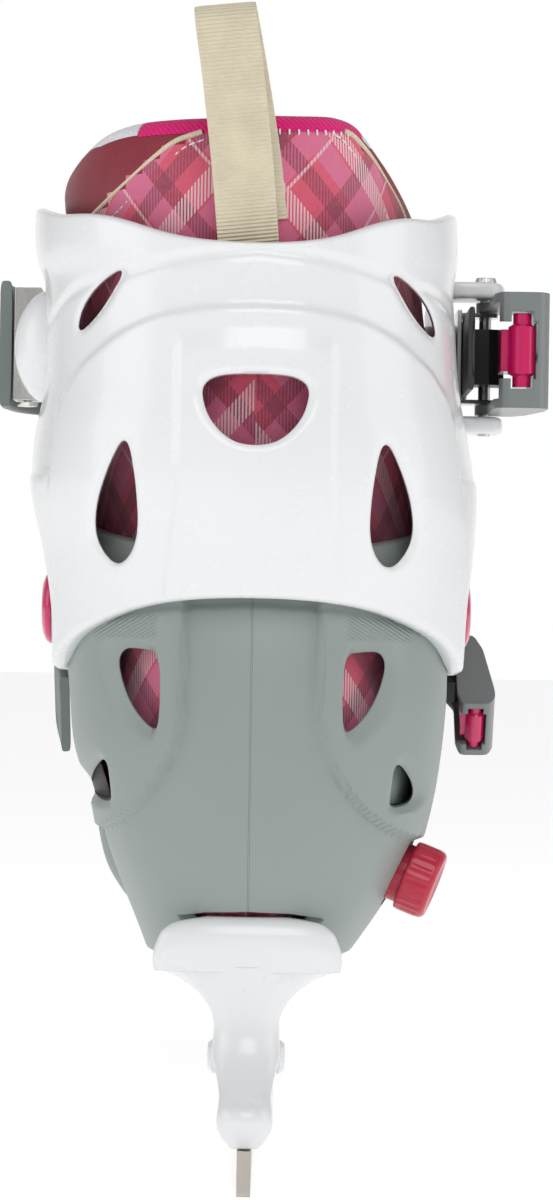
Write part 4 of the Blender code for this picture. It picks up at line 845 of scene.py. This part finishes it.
SHAFT_STATIONS = (  # height, inner half-width, outer half-width, rearmost y
    (0.1150, 0.0350, 0.0360, -0.1010), (0.1330, 0.0368, 0.0380, -0.1010), (0.1500, 0.0384, 0.0390, -0.1015),
    (0.1650, 0.0410, 0.0405, -0.1050), (0.1900, 0.0425, 0.0402, -0.1060), (0.2100, 0.0436, 0.0385, -0.1050),
    (0.2270, 0.0452, 0.0352, -0.1045), (0.2400, 0.0430, 0.0320, -0.1030),
)
COLLAR_INNER = ((-0.1050, 0.2392), (-0.1000, 0.2390), (-0.0930, 0.2386), (-0.0850, 0.2372), (-0.0700, 0.2320),
                (-0.0500, 0.2262), (-0.0300, 0.2200), (-0.0020, 0.2140))  # y, height of the top edge
COLLAR_OUTER = ((-0.1050, 0.2398), (-0.0980, 0.2402), (-0.0930, 0.2390), (-0.0870, 0.2335), (-0.0800, 0.2275),
                (-0.0700, 0.2215), (-0.0500, 0.2180), (-0.0020, 0.2130))
PAD = 0.0026  # half the padded wall's thickness


def shaft_point(u, z, inward):
    """A point of the ankle's padded wall, moved in by a distance."""
    return horseshoe(u, through(SHAFT_STATIONS, z, 1) - inward, through(SHAFT_STATIONS, z, 2) - inward,
                     through(SHAFT_STATIONS, z, 3) + inward, -0.0020)


def padded_wall(u, low, extra=0.0, skirt=None):
    """The wall's cross-section carried round the ankle: up its outside, over a round top and down its inside.

    extra swells it, and skirt is how far below the top it starts, in place of the height low.
    """
    _, guide = horseshoe(u, 1.0, 1.0, -0.105, -0.0020)
    top = np.where(u < 0, through(COLLAR_INNER, guide), through(COLLAR_OUTER, guide)) - PAD
    start = low + 0 * top if skirt is None else top - skirt
    climb = np.linspace(0, 1, 40 if skirt is None else 8)[:, None]
    turn = np.linspace(0, math.pi, 15)[1:-1, None]
    flat = np.ones_like(climb)
    rise = np.concatenate([start + (top - start) * climb, top + (PAD + extra) * np.sin(turn),
                           (start + (top - start) * climb)[::-1]])
    depth = np.concatenate([-extra * flat, PAD - (PAD + extra) * np.cos(turn), (2 * PAD + extra) * flat])
    puff = 0.0009 * np.clip(np.sin((rise - 0.118) / 0.024 * math.pi), -1, 1) * (depth < PAD)
    x, y = shaft_point(u + 0 * rise, rise, depth - (puff if skirt is None else 0))
    return np.stack([x, y, rise], -1)


def closed_strip(grid):
    """A long strip whose rows run over an edge: its own faces, its open foot closed, and both of its ends."""
    rows, columns = grid.shape[:2]
    index = np.arange(rows * columns).reshape(rows, columns)
    foot = np.stack([index[-1, :-1], index[-1, 1:], index[0, 1:], index[0, :-1]], -1)
    ends = []
    half = rows // 2
    for column, flip in ((0, False), (columns - 1, True)):
        front, back = index[:half, column], index[::-1, column][:half]
        face = np.stack([front[:-1], front[1:], back[1:], back[:-1]], -1)
        ends.append(face if not flip else face[:, ::-1])
    return grid, np.concatenate([quads_of(rows, columns), foot] + ends)


tartan_cloth = tartan()
satin = cloth_finish("dark_red_satin", (0.235, 0.006, 0.022), 0.0006, 0.6, 0.00003, sheen=0.1)
satin.node_tree.nodes["Principled BSDF"].inputs["Roughness"].default_value = 0.42
fleece_grey = fleece("grey_fleece", (0.66, 0.66, 0.70))
lining_red = fleece("dark_red_lining", (0.16, 0.006, 0.02))
PIPING_INNER = ((-0.0420, 0.2140), (-0.0395, 0.2175), (-0.0354, 0.2209), (-0.0290, 0.2262), (-0.0236, 0.2308),
                (-0.0189, 0.2342), (-0.0130, 0.2362))
PIPING_OUTER = ((0.0190, 0.2376), (0.0213, 0.2364), (0.0250, 0.2326), (0.0288, 0.2272), (0.0325, 0.2215),
                (0.0345, 0.2160))


def smooth_path(points, steps):
    """A smooth open curve through points, with the given number of steps between two of them."""
    points = np.array(points, float)
    ends = np.vstack([2 * points[0] - points[1], points, 2 * points[-1] - points[-2]])
    t = np.linspace(0, 1, steps, endpoint=False)[:, None]
    out = [0.5 * (2 * p1 + (p2 - p0) * t + (2 * p0 - 5 * p1 + 4 * p2 - p3) * t**2
                  + (3 * p1 - p0 - 3 * p2 + p3) * t**3)
           for p0, p1, p2, p3 in zip(ends[:-3], ends[1:-2], ends[2:-1], ends[3:])]
    return np.vstack(out + [points[-1:]])


def on_shaft(points, lift, steps=10):
    """A smooth path through (x, height) points, laid on the back of the ankle's wall and raised by lift."""
    line = smooth_path(points, steps)
    x, z = line[:, 0], line[:, 1]
    width = np.where(x < 0, through(SHAFT_STATIONS, z, 1), through(SHAFT_STATIONS, z, 2)) + lift
    turn = np.arcsin(np.clip(np.abs(x) / width, 0, 1) ** (1 / 0.88))
    nose = through(SHAFT_STATIONS, z, 3) - lift
    return np.stack([x, SIDE_Y + (nose - SIDE_Y) * np.cos(turn) ** 0.88, z], -1)


def tube(line, radius, sides=12):
    """A round cord along a path: rings square to it, with closed ends."""
    along = np.gradient(line, axis=0)
    along /= np.linalg.norm(along, axis=1, keepdims=True)
    side = np.cross(along, np.broadcast_to(np.array((0.3, 1.0, 0.2)), along.shape))
    side /= np.linalg.norm(side, axis=1, keepdims=True)
    up = np.cross(along, side)
    turn = np.linspace(0, 2 * math.pi, sides, endpoint=False)
    rings = line[:, None] + radius * (np.cos(turn)[None, :, None] * side[:, None]
                                      + np.sin(turn)[None, :, None] * up[:, None])
    return closed_loft(rings)


u = np.linspace(-1, 1, 401)[None, :]
wall = padded_wall(u, 0.1160)
points, faces = closed_strip(wall)
centre = wall.reshape(-1, 3)[faces].mean(1)
outside = np.zeros(len(faces), int)
row = faces[:, 0] // wall.shape[1]
inner_line, outer_line = np.array(PIPING_INNER), np.array(PIPING_OUTER[::-1])
edge_x = np.where(centre[:, 0] < 0, np.interp(centre[:, 2], inner_line[:, 1], inner_line[:, 0]),
                  np.interp(centre[:, 2], outer_line[:, 1], outer_line[:, 0]))
beyond = (np.abs(centre[:, 0]) > np.abs(edge_x)) | (centre[:, 1] > -0.060)
outside[beyond & (row < 45) & (centre[:, 2] > 0.2150)] = 1
outside[row >= 46] = 2
shaft = mesh_piece("inner_boot_ankle", [(points, np.column_stack([faces, outside]))],
                   [tartan_cloth, satin, lining_red], 70)
map_cloth(shaft, run_length(wall), wall[..., 2])
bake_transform(shaft)
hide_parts("liner_shaft")

binding_cloth = cloth_finish("magenta_binding", (0.72, 0.0, 0.17), 0.0013, 0.9, 0.00012, sheen=0.2)
cream_cord = cloth_finish("cream_piping", (0.70, 0.61, 0.44), 0.0008, 0.8, 0.00004)
white_thread = cloth_finish("white_thread", (0.85, 0.84, 0.84), 0.0006, 0.5, 0.00005)
top_left, top_right = -0.262, 0.300
for name, reach, skirt, extra, finish in (
    ("collar_binding", (top_left, top_right), 0.0006, 0.00045, binding_cloth),
    ("fleece_edge_inner", (-0.985, top_left - 0.004), 0.0002, 0.0004, fleece_grey),
    ("fleece_edge_outer", (top_right + 0.004, 0.985), 0.0002, 0.0004, fleece_grey),
):
    strip = padded_wall(np.linspace(*reach, 181)[None, :], 0.0, extra, skirt)
    edge = mesh_piece(name, [closed_strip(strip)], [finish], 70)
    girth = np.cumsum(np.concatenate([[0], np.linalg.norm(np.diff(strip[:, 90], axis=0), axis=1)]))
    map_cloth(edge, run_length(strip), girth[:, None] + 0 * strip[..., 0])
    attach(edge, "cuff")

for name, points in (("piping_inner", PIPING_INNER), ("piping_outer", PIPING_OUTER)):
    line = on_shaft(points, 0.0004)
    grid, faces = tube(line, 0.00062)
    cord = mesh_piece(name, [(grid, faces)], [cream_cord], 70)
    far = np.concatenate([[0], np.cumsum(np.linalg.norm(np.diff(line, axis=0), axis=1))])
    far = np.concatenate([far[:1], far, far[-1:]])
    flat = 0 * grid[..., 0]
    map_cloth(cord, far[:, None] + flat, 0.0003 * np.arange(grid.shape[1])[None, :] + flat)
    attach(tidy(cord), "cuff")


def stitches(line, pitch, length, radius, tilt=0.0):
    """A row of short rounded threads along a path: one every pitch, turned from it by tilt, in the wall's skin."""
    far = np.concatenate([[0], np.cumsum(np.linalg.norm(np.diff(line, axis=0), axis=1))])
    along = np.gradient(line, axis=0)
    along /= np.linalg.norm(along, axis=1, keepdims=True)
    parts = []
    for at in np.arange(pitch / 2, far[-1], pitch):
        here = np.array([np.interp(at, far, line[:, k]) for k in range(3)])
        way = np.array([np.interp(at, far, along[:, k]) for k in range(3)])
        turned_way = Matrix.Rotation(tilt, 3, "Y") @ Vector(way)
        reach = np.linspace(-1, 1, 7)[:, None]
        path = here + reach * length / 2 * np.array(turned_way) + (0, 0.00025, 0) * reach**2
        parts.append(tube(path, radius, 6))
    return parts


sewn = on_shaft([(x * 0.90 + 0.0004, z - 0.0014) for x, z in PIPING_INNER], 0.0006)
seams = stitches(sewn, 0.0021, 0.0015, 0.00017)
sewn = on_shaft([(x * 0.88, z - 0.0012) for x, z in PIPING_OUTER], 0.0006)
seams += stitches(sewn, 0.0021, 0.0015, 0.00017)
_, guide = horseshoe(np.linspace(0.03, 0.27, 60), 1.0, 1.0, -0.105, -0.002)
top = through(COLLAR_OUTER, guide) - PAD - 0.0009
px, py = shaft_point(np.linspace(0.03, 0.27, 60), top, -0.0007)
seams += stitches(np.stack([px, py, top], -1), 0.0022, 0.0011, 0.00022, math.radians(90))
thread = mesh_piece("collar_stitching", seams, [white_thread], 80)
map_cloth(thread, np.zeros(len(thread.data.vertices)), np.zeros(len(thread.data.vertices)))
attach(tidy(thread), "cuff")

# The foot part is one closed skin round the heel and toes, whose hollow opens at its top into the ankle part.
FOOT_STATIONS = (  # height, half-width, foremost y
    (0.0565, 0.0320, 0.1170), (0.0640, 0.0350, 0.1240), (0.0700, 0.0362, 0.1260), (0.0800, 0.0370, 0.1250),
    (0.0900, 0.0360, 0.1150), (0.0980, 0.0345, 0.0990), (0.1050, 0.0325, 0.0800), (0.1150, 0.0320, 0.0560),
    (0.1290, 0.0350, 0.0220),
)


def foot_ring(height, inset, lift=0.0):
    """A closed outline of the foot part at one height, inset from its outside: heel, outer side, toes, inner side."""
    at = height + lift
    low_room = 0.0080 * np.clip((0.080 - height) / 0.016, 0, 1)
    clear = 0.0058 + inset
    inner = through(HEEL_STATIONS, height, 1) - clear
    outer = through(HEEL_STATIONS, height, 2) - clear - low_room
    heel_y = SIDE_Y + 0.0060
    nose_y = through(HEEL_STATIONS, height, 3) + clear - 0.0010
    x, y = horseshoe(np.linspace(-1, 1, 61), inner, outer, nose_y, heel_y)
    turn = np.linspace(0, math.pi, 51)
    wide = through(FOOT_STATIONS, at, 1) - 0.0008 - inset
    tip = through(FOOT_STATIONS, at, 2) - inset
    start_y = min(0.0660, tip - 0.0250)
    toe_x = wide * np.sign(np.cos(turn)) * np.abs(np.cos(turn)) ** 0.92
    toe_y = start_y + (tip - start_y) * np.abs(np.sin(turn)) ** 0.92
    t = np.linspace(0, 1, 22)[1:-1]
    waist_y = heel_y + (start_y - heel_y) * t
    waist = 0.0026 * np.sin(math.pi * np.clip(t * 1.3, 0, 1)) ** 2
    flare = eased((waist_y - 0.0400) / 0.0240)
    right_x = outer + (wide - outer) * flare - waist
    left_x = -(inner + (wide - inner) * flare - waist)
    xs = np.concatenate([x, right_x, toe_x, left_x[::-1]])
    ys = np.concatenate([y, waist_y, toe_y, waist_y[::-1]])
    return np.stack([xs, ys, np.full_like(xs, height)], -1)


outer_rings = [foot_ring(h, 0.0) for h in np.linspace(0.0565, 0.1280, 60)]
inner_rings = [foot_ring(h, 0.0052, 0.004) for h in np.linspace(0.1280, 0.0622, 30)]
rings = np.array(outer_rings + inner_rings)
grid, faces = closed_loft(rings)
kinds = (faces[:, 0] // grid.shape[1] > 61).astype(int)
foot = mesh_piece("inner_boot_foot", [(grid, np.column_stack([faces, kinds]))], [tartan_cloth, lining_red], 70)
around = run_length(np.roll(grid, grid.shape[1] // 2 - 30, axis=1))
map_cloth(foot, np.roll(around, 30 - grid.shape[1] // 2, axis=1), grid[..., 2])
tidy(foot)
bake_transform(foot)
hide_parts("liner_foot", "liner_toe")

insole = [foot_ring(h, 0.0064 + 0.0006 * (i in (0, 5)), 0.004)
          for i, h in enumerate(np.linspace(0.0626, 0.0652, 6))]
for ring in insole:
    front = ring[:, 1] > 0.0360
    ring[front, 0] = np.clip(ring[front, 0], -0.0148, 0.0148)
insole = np.array(insole)
insole[3:, :, 2] += 0.0008 * np.cos(insole[3:, :, 1] * 40)
footbed = mesh_piece("footbed_felt", [closed_loft(insole)], [lining_red], 60)
tidy(footbed)
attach(footbed, "boot")
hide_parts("footbed")


# ---- Tongue ----
# A padded slab in front of the shin, of the same foam and lining, quilted across in four channels.
across = np.linspace(-1, 1, 61)[None, :]
rise = np.linspace(0, 1, 81)[:, None]


def tongue_side(front):
    """One face of the tongue as a grid: a shallow curve, thick in its middle and thin at its edges, in channels."""
    edge = np.sqrt(np.clip((1 - np.abs(across) ** 4) * (1 - np.abs(2 * rise - 1) ** 8), 0, 1))
    channel = 0.78 + 0.22 * np.abs(np.sin(4 * math.pi * rise))
    half = 0.0034 * edge * channel
    x = -0.0290 * across * (1 + 0.10 * rise) + 0 * half
    y = 0.0155 + 0.0100 * rise**2 - 0.0070 * across**2 + (half if front else -half)
    return np.stack([x, y, 0.1560 + 0.0780 * rise + 0 * x], -1)


tongue = mesh_piece("tongue_pad", [two_skins(tongue_side(True), tongue_side(False))], [lining_red], 75)
tidy(tongue)
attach(tongue, "cuff")
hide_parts("liner_tongue")


# ---- Pull loop ----
# A loop of ribbed cream webbing, folded over and sewn in behind the inner boot's heel, to pull it on by.
def strip(name, path, across, width, thick, middle, finish, pitch, tooth, spare, step=0.00016):
    """A flat band along a smooth path, width across and thick, on the side of the path away from middle.

    Its section is a squarish ellipse. Ribs of height tooth stand every pitch on its outer face, and end at a
    distance spare from its edges.
    """
    line = smooth_path(path, 24)
    length = np.concatenate([[0], np.cumsum(np.linalg.norm(np.diff(line, axis=0), axis=1))])
    run = np.linspace(0, length[-1], int(length[-1] / step))
    line = np.stack([np.interp(run, length, line[:, i]) for i in range(3)], -1)
    along = np.gradient(line, axis=0)
    across = np.array(across) / np.linalg.norm(across)
    out = np.cross(along, across)
    out /= np.linalg.norm(out, axis=1, keepdims=True)
    out *= np.sign((out * (line - middle)).sum())
    turn = np.linspace(0, 2 * math.pi, 48, endpoint=False)
    wide = 0.5 * width * np.sign(np.cos(turn)) * np.abs(np.cos(turn)) ** 0.35
    high = 0.5 * thick * (1 + np.sign(np.sin(turn)) * np.abs(np.sin(turn)) ** 0.35)
    wave = 0.5 - 0.5 * np.clip(1.6 * np.sin(2 * math.pi * run / pitch), -1, 1)
    inner = eased((0.5 * width - spare - np.abs(wide)) / 0.0006) * (np.sin(turn) > 0)
    rise = high[None, :] - tooth * wave[:, None] * inner[None, :]
    rings = line[:, None, :] + wide[None, :, None] * across + rise[..., None] * out[:, None, :]
    made = mesh_piece(name, [closed_loft(rings)], [finish], 50)
    flat = np.concatenate([rise[:1], rise, rise[-1:]]) * 0
    map_cloth(made, flat + wide, flat + np.concatenate([run[:1], run, run[-1:]])[:, None])
    tidy(made)
    work = bmesh.new()
    work.from_mesh(made.data)
    bmesh.ops.recalc_face_normals(work, faces=work.faces)
    work.to_mesh(made.data)
    work.free()
    return made


webbing = cloth_finish("cream_webbing", (0.70, 0.63, 0.47), 0.0009, 0.0, 0.00010, along=False, sheen=0.2)
loop = strip("pull_loop_webbing", (
    (-0.0018, -0.1066, 0.2030), (-0.0024, -0.1074, 0.2130), (-0.0040, -0.1138, 0.2300), (-0.0062, -0.1168, 0.2480),
    (-0.0078, -0.1158, 0.2590), (-0.0080, -0.1110, 0.2625), (-0.0070, -0.1065, 0.2585), (-0.0050, -0.1055, 0.2480),
    (-0.0020, -0.1058, 0.2300), (-0.0004, -0.1060, 0.2160),
), (0.985, 0.06, 0.11), 0.0137, 0.0011, (-0.004, -0.1110, 0.2400), webbing, 0.0009, 0.00016, 0.0004)
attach(loop, "cuff")
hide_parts("pull_loop")


# ---- Straps and ladders ----
# A moulded strap comes round the front of the ankle and of the instep from the inner side. A black ladder with
# square teeth is screwed to its end and runs on into the buckle on the outer side.
strap_grey, _, _, _ = moulded("grey_strap", (0.17, 0.20, 0.19), 0.50, grain=0.00003, edge=0.0004)
pitch_turn = Matrix.Rotation(math.radians(38), 3, "X")
root = Vector((0, -0.0060, 0.1000))
ahead, over_foot = pitch_turn @ Vector((0, 1, 0)), pitch_turn @ Vector((0, 0, 1))


def round_ankle(points):
    """(x, y) points at the height of the ankle's strap."""
    return [(px, py, 0.1920) for px, py in points]


def round_instep(points):
    """(x, distance forward) points in the slanting plane of the instep's strap."""
    return [tuple(root + ahead * far + Vector((px, 0, 0))) for px, far in points]


instep_middle = tuple(root + ahead * 0.015)
for name, rider, path, across, width, thick, middle, finish, spacing, tooth, spare, slot in (
    ("ankle_strap", "cuff", round_ankle(((-0.0590, -0.0400), (-0.0590, -0.0220), (-0.0540, 0.0040), (-0.0330, 0.0290),
                                         (0, 0.0370), (0.0180, 0.0360))),
     (0, 0, 1), 0.0300, 0.0030, (0, -0.03, 0.1920), strap_grey, 0.0100, 0.0004, 0.0040, "grey_plastic"),
    ("ankle_ladder", "cuff", round_ankle(((-0.0020, 0.0406), (0.0180, 0.0394), (0.0400, 0.0260), (0.0496, 0.0060),
                                          (0.0498, -0.0140), (0.0498, -0.0500))),
     (0, 0, 1), 0.0196, 0.0016, (0, -0.03, 0.1920), black_plastic, 0.0024, 0.0006, 0.0026, "dark_plastic"),
    ("instep_strap", "boot", round_instep(((-0.0455, 0.0040), (-0.0475, 0.0180), (-0.0440, 0.0380), (-0.0280, 0.0560),
                                           (0, 0.0630), (0.0140, 0.0620))),
     over_foot, 0.0240, 0.0025, instep_middle, strap_grey, 0.0100, 0.0004, 0.0040, "grey_plastic"),
    ("instep_ladder", "boot", round_instep(((-0.0020, 0.0660), (0.0140, 0.0650), (0.0340, 0.0570), (0.0444, 0.0400),
                                            (0.0452, 0.0180), (0.0453, -0.0020))),
     over_foot, 0.0108, 0.0016, instep_middle, black_plastic, 0.0024, 0.0006, 0.0016, "dark_plastic"),
):
    band_piece = strip(name + "_moulding", path, tuple(across), width, thick, middle, finish, spacing, tooth, spare)
    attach(band_piece, rider)
    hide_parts(name)


# ---- Buckles ----
# Two ratchet buckles, a larger one at the ankle and a smaller at the instep: a folded steel base, a grey lever on
# a steel pin, a black pawl, and a hot-pink trigger in the lever's end that a wire spring holds out.
lever_grey, _, _, _ = moulded("grey_lever", (0.20, 0.22, 0.22), 0.34, edge=0.0006, coat=0.2)
bright_steel = brushed("bright_steel", (0.70, 0.69, 0.66), 0.22, (900.0, 900.0, 60.0))
spring_steel = brushed("spring_steel", (0.46, 0.45, 0.43), 0.30, (300.0, 300.0, 300.0))
for name in sorted(nodes):
    for ending, finish in (("_buckle_base", bright_steel), ("_pin", bright_steel), ("_bracket", bright_steel),
                           ("_lever", lever_grey), ("_pawl", black_plastic), ("_trigger", pink_finish),
                           ("_spring", spring_steel), ("_screw", bright_steel)):
        if name.endswith(ending):
            dress(finish, name)


# ---- Size button ----
# The crimson push button that frees the toe shell: a round cup on a stem, in a collar moulded into the heel shell,
# over a coil spring. Its face is dished, with a ring of grip ribs round its skirt.
crimson, tree, _, coords = moulded("crimson_gloss", (0.52, 0.011, 0.045), 0.34, edge=0.0004, coat=0.2, spread=0.04)
cup = bent(((0, 0.0092), (0.0040, 0.0093), (0.0062, 0.0098), (0.0074, 0.0097), (0.0081, 0.0090), (0.0083, 0.0078),
            (0.0083, 0.0026), (0.0078, 0.0023), (0.0074, 0.0026), (0.0074, 0.0078), (0.0017, 0.0078),
            (0.0017, -0.0042), (0, -0.0042)), 4)
points, faces = turned(cup, BUTTON_AT, BUTTON_AXIS, 144)
round_axis = points - np.array(BUTTON_AT)
depth = round_axis @ np.array(BUTTON_AXIS)
arm = round_axis - depth[..., None] * np.array(BUTTON_AXIS)
radius = np.linalg.norm(arm, axis=-1)
grip = (0.00014 * (1 + np.cos(np.linspace(0, 2 * math.pi, 144, endpoint=False) * 24))[None, :]
        * (radius > 0.0080) * eased((0.0088 - depth) / 0.001) * eased((depth - 0.0028) / 0.001))
points = points - arm / np.maximum(radius, 1e-6)[..., None] * grip[..., None]
button = tidy(mesh_piece("size_button_cup", [(points, faces)], [crimson]))
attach(button, "size_button")
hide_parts("size_button")
dress(crimson, "size_button_base")
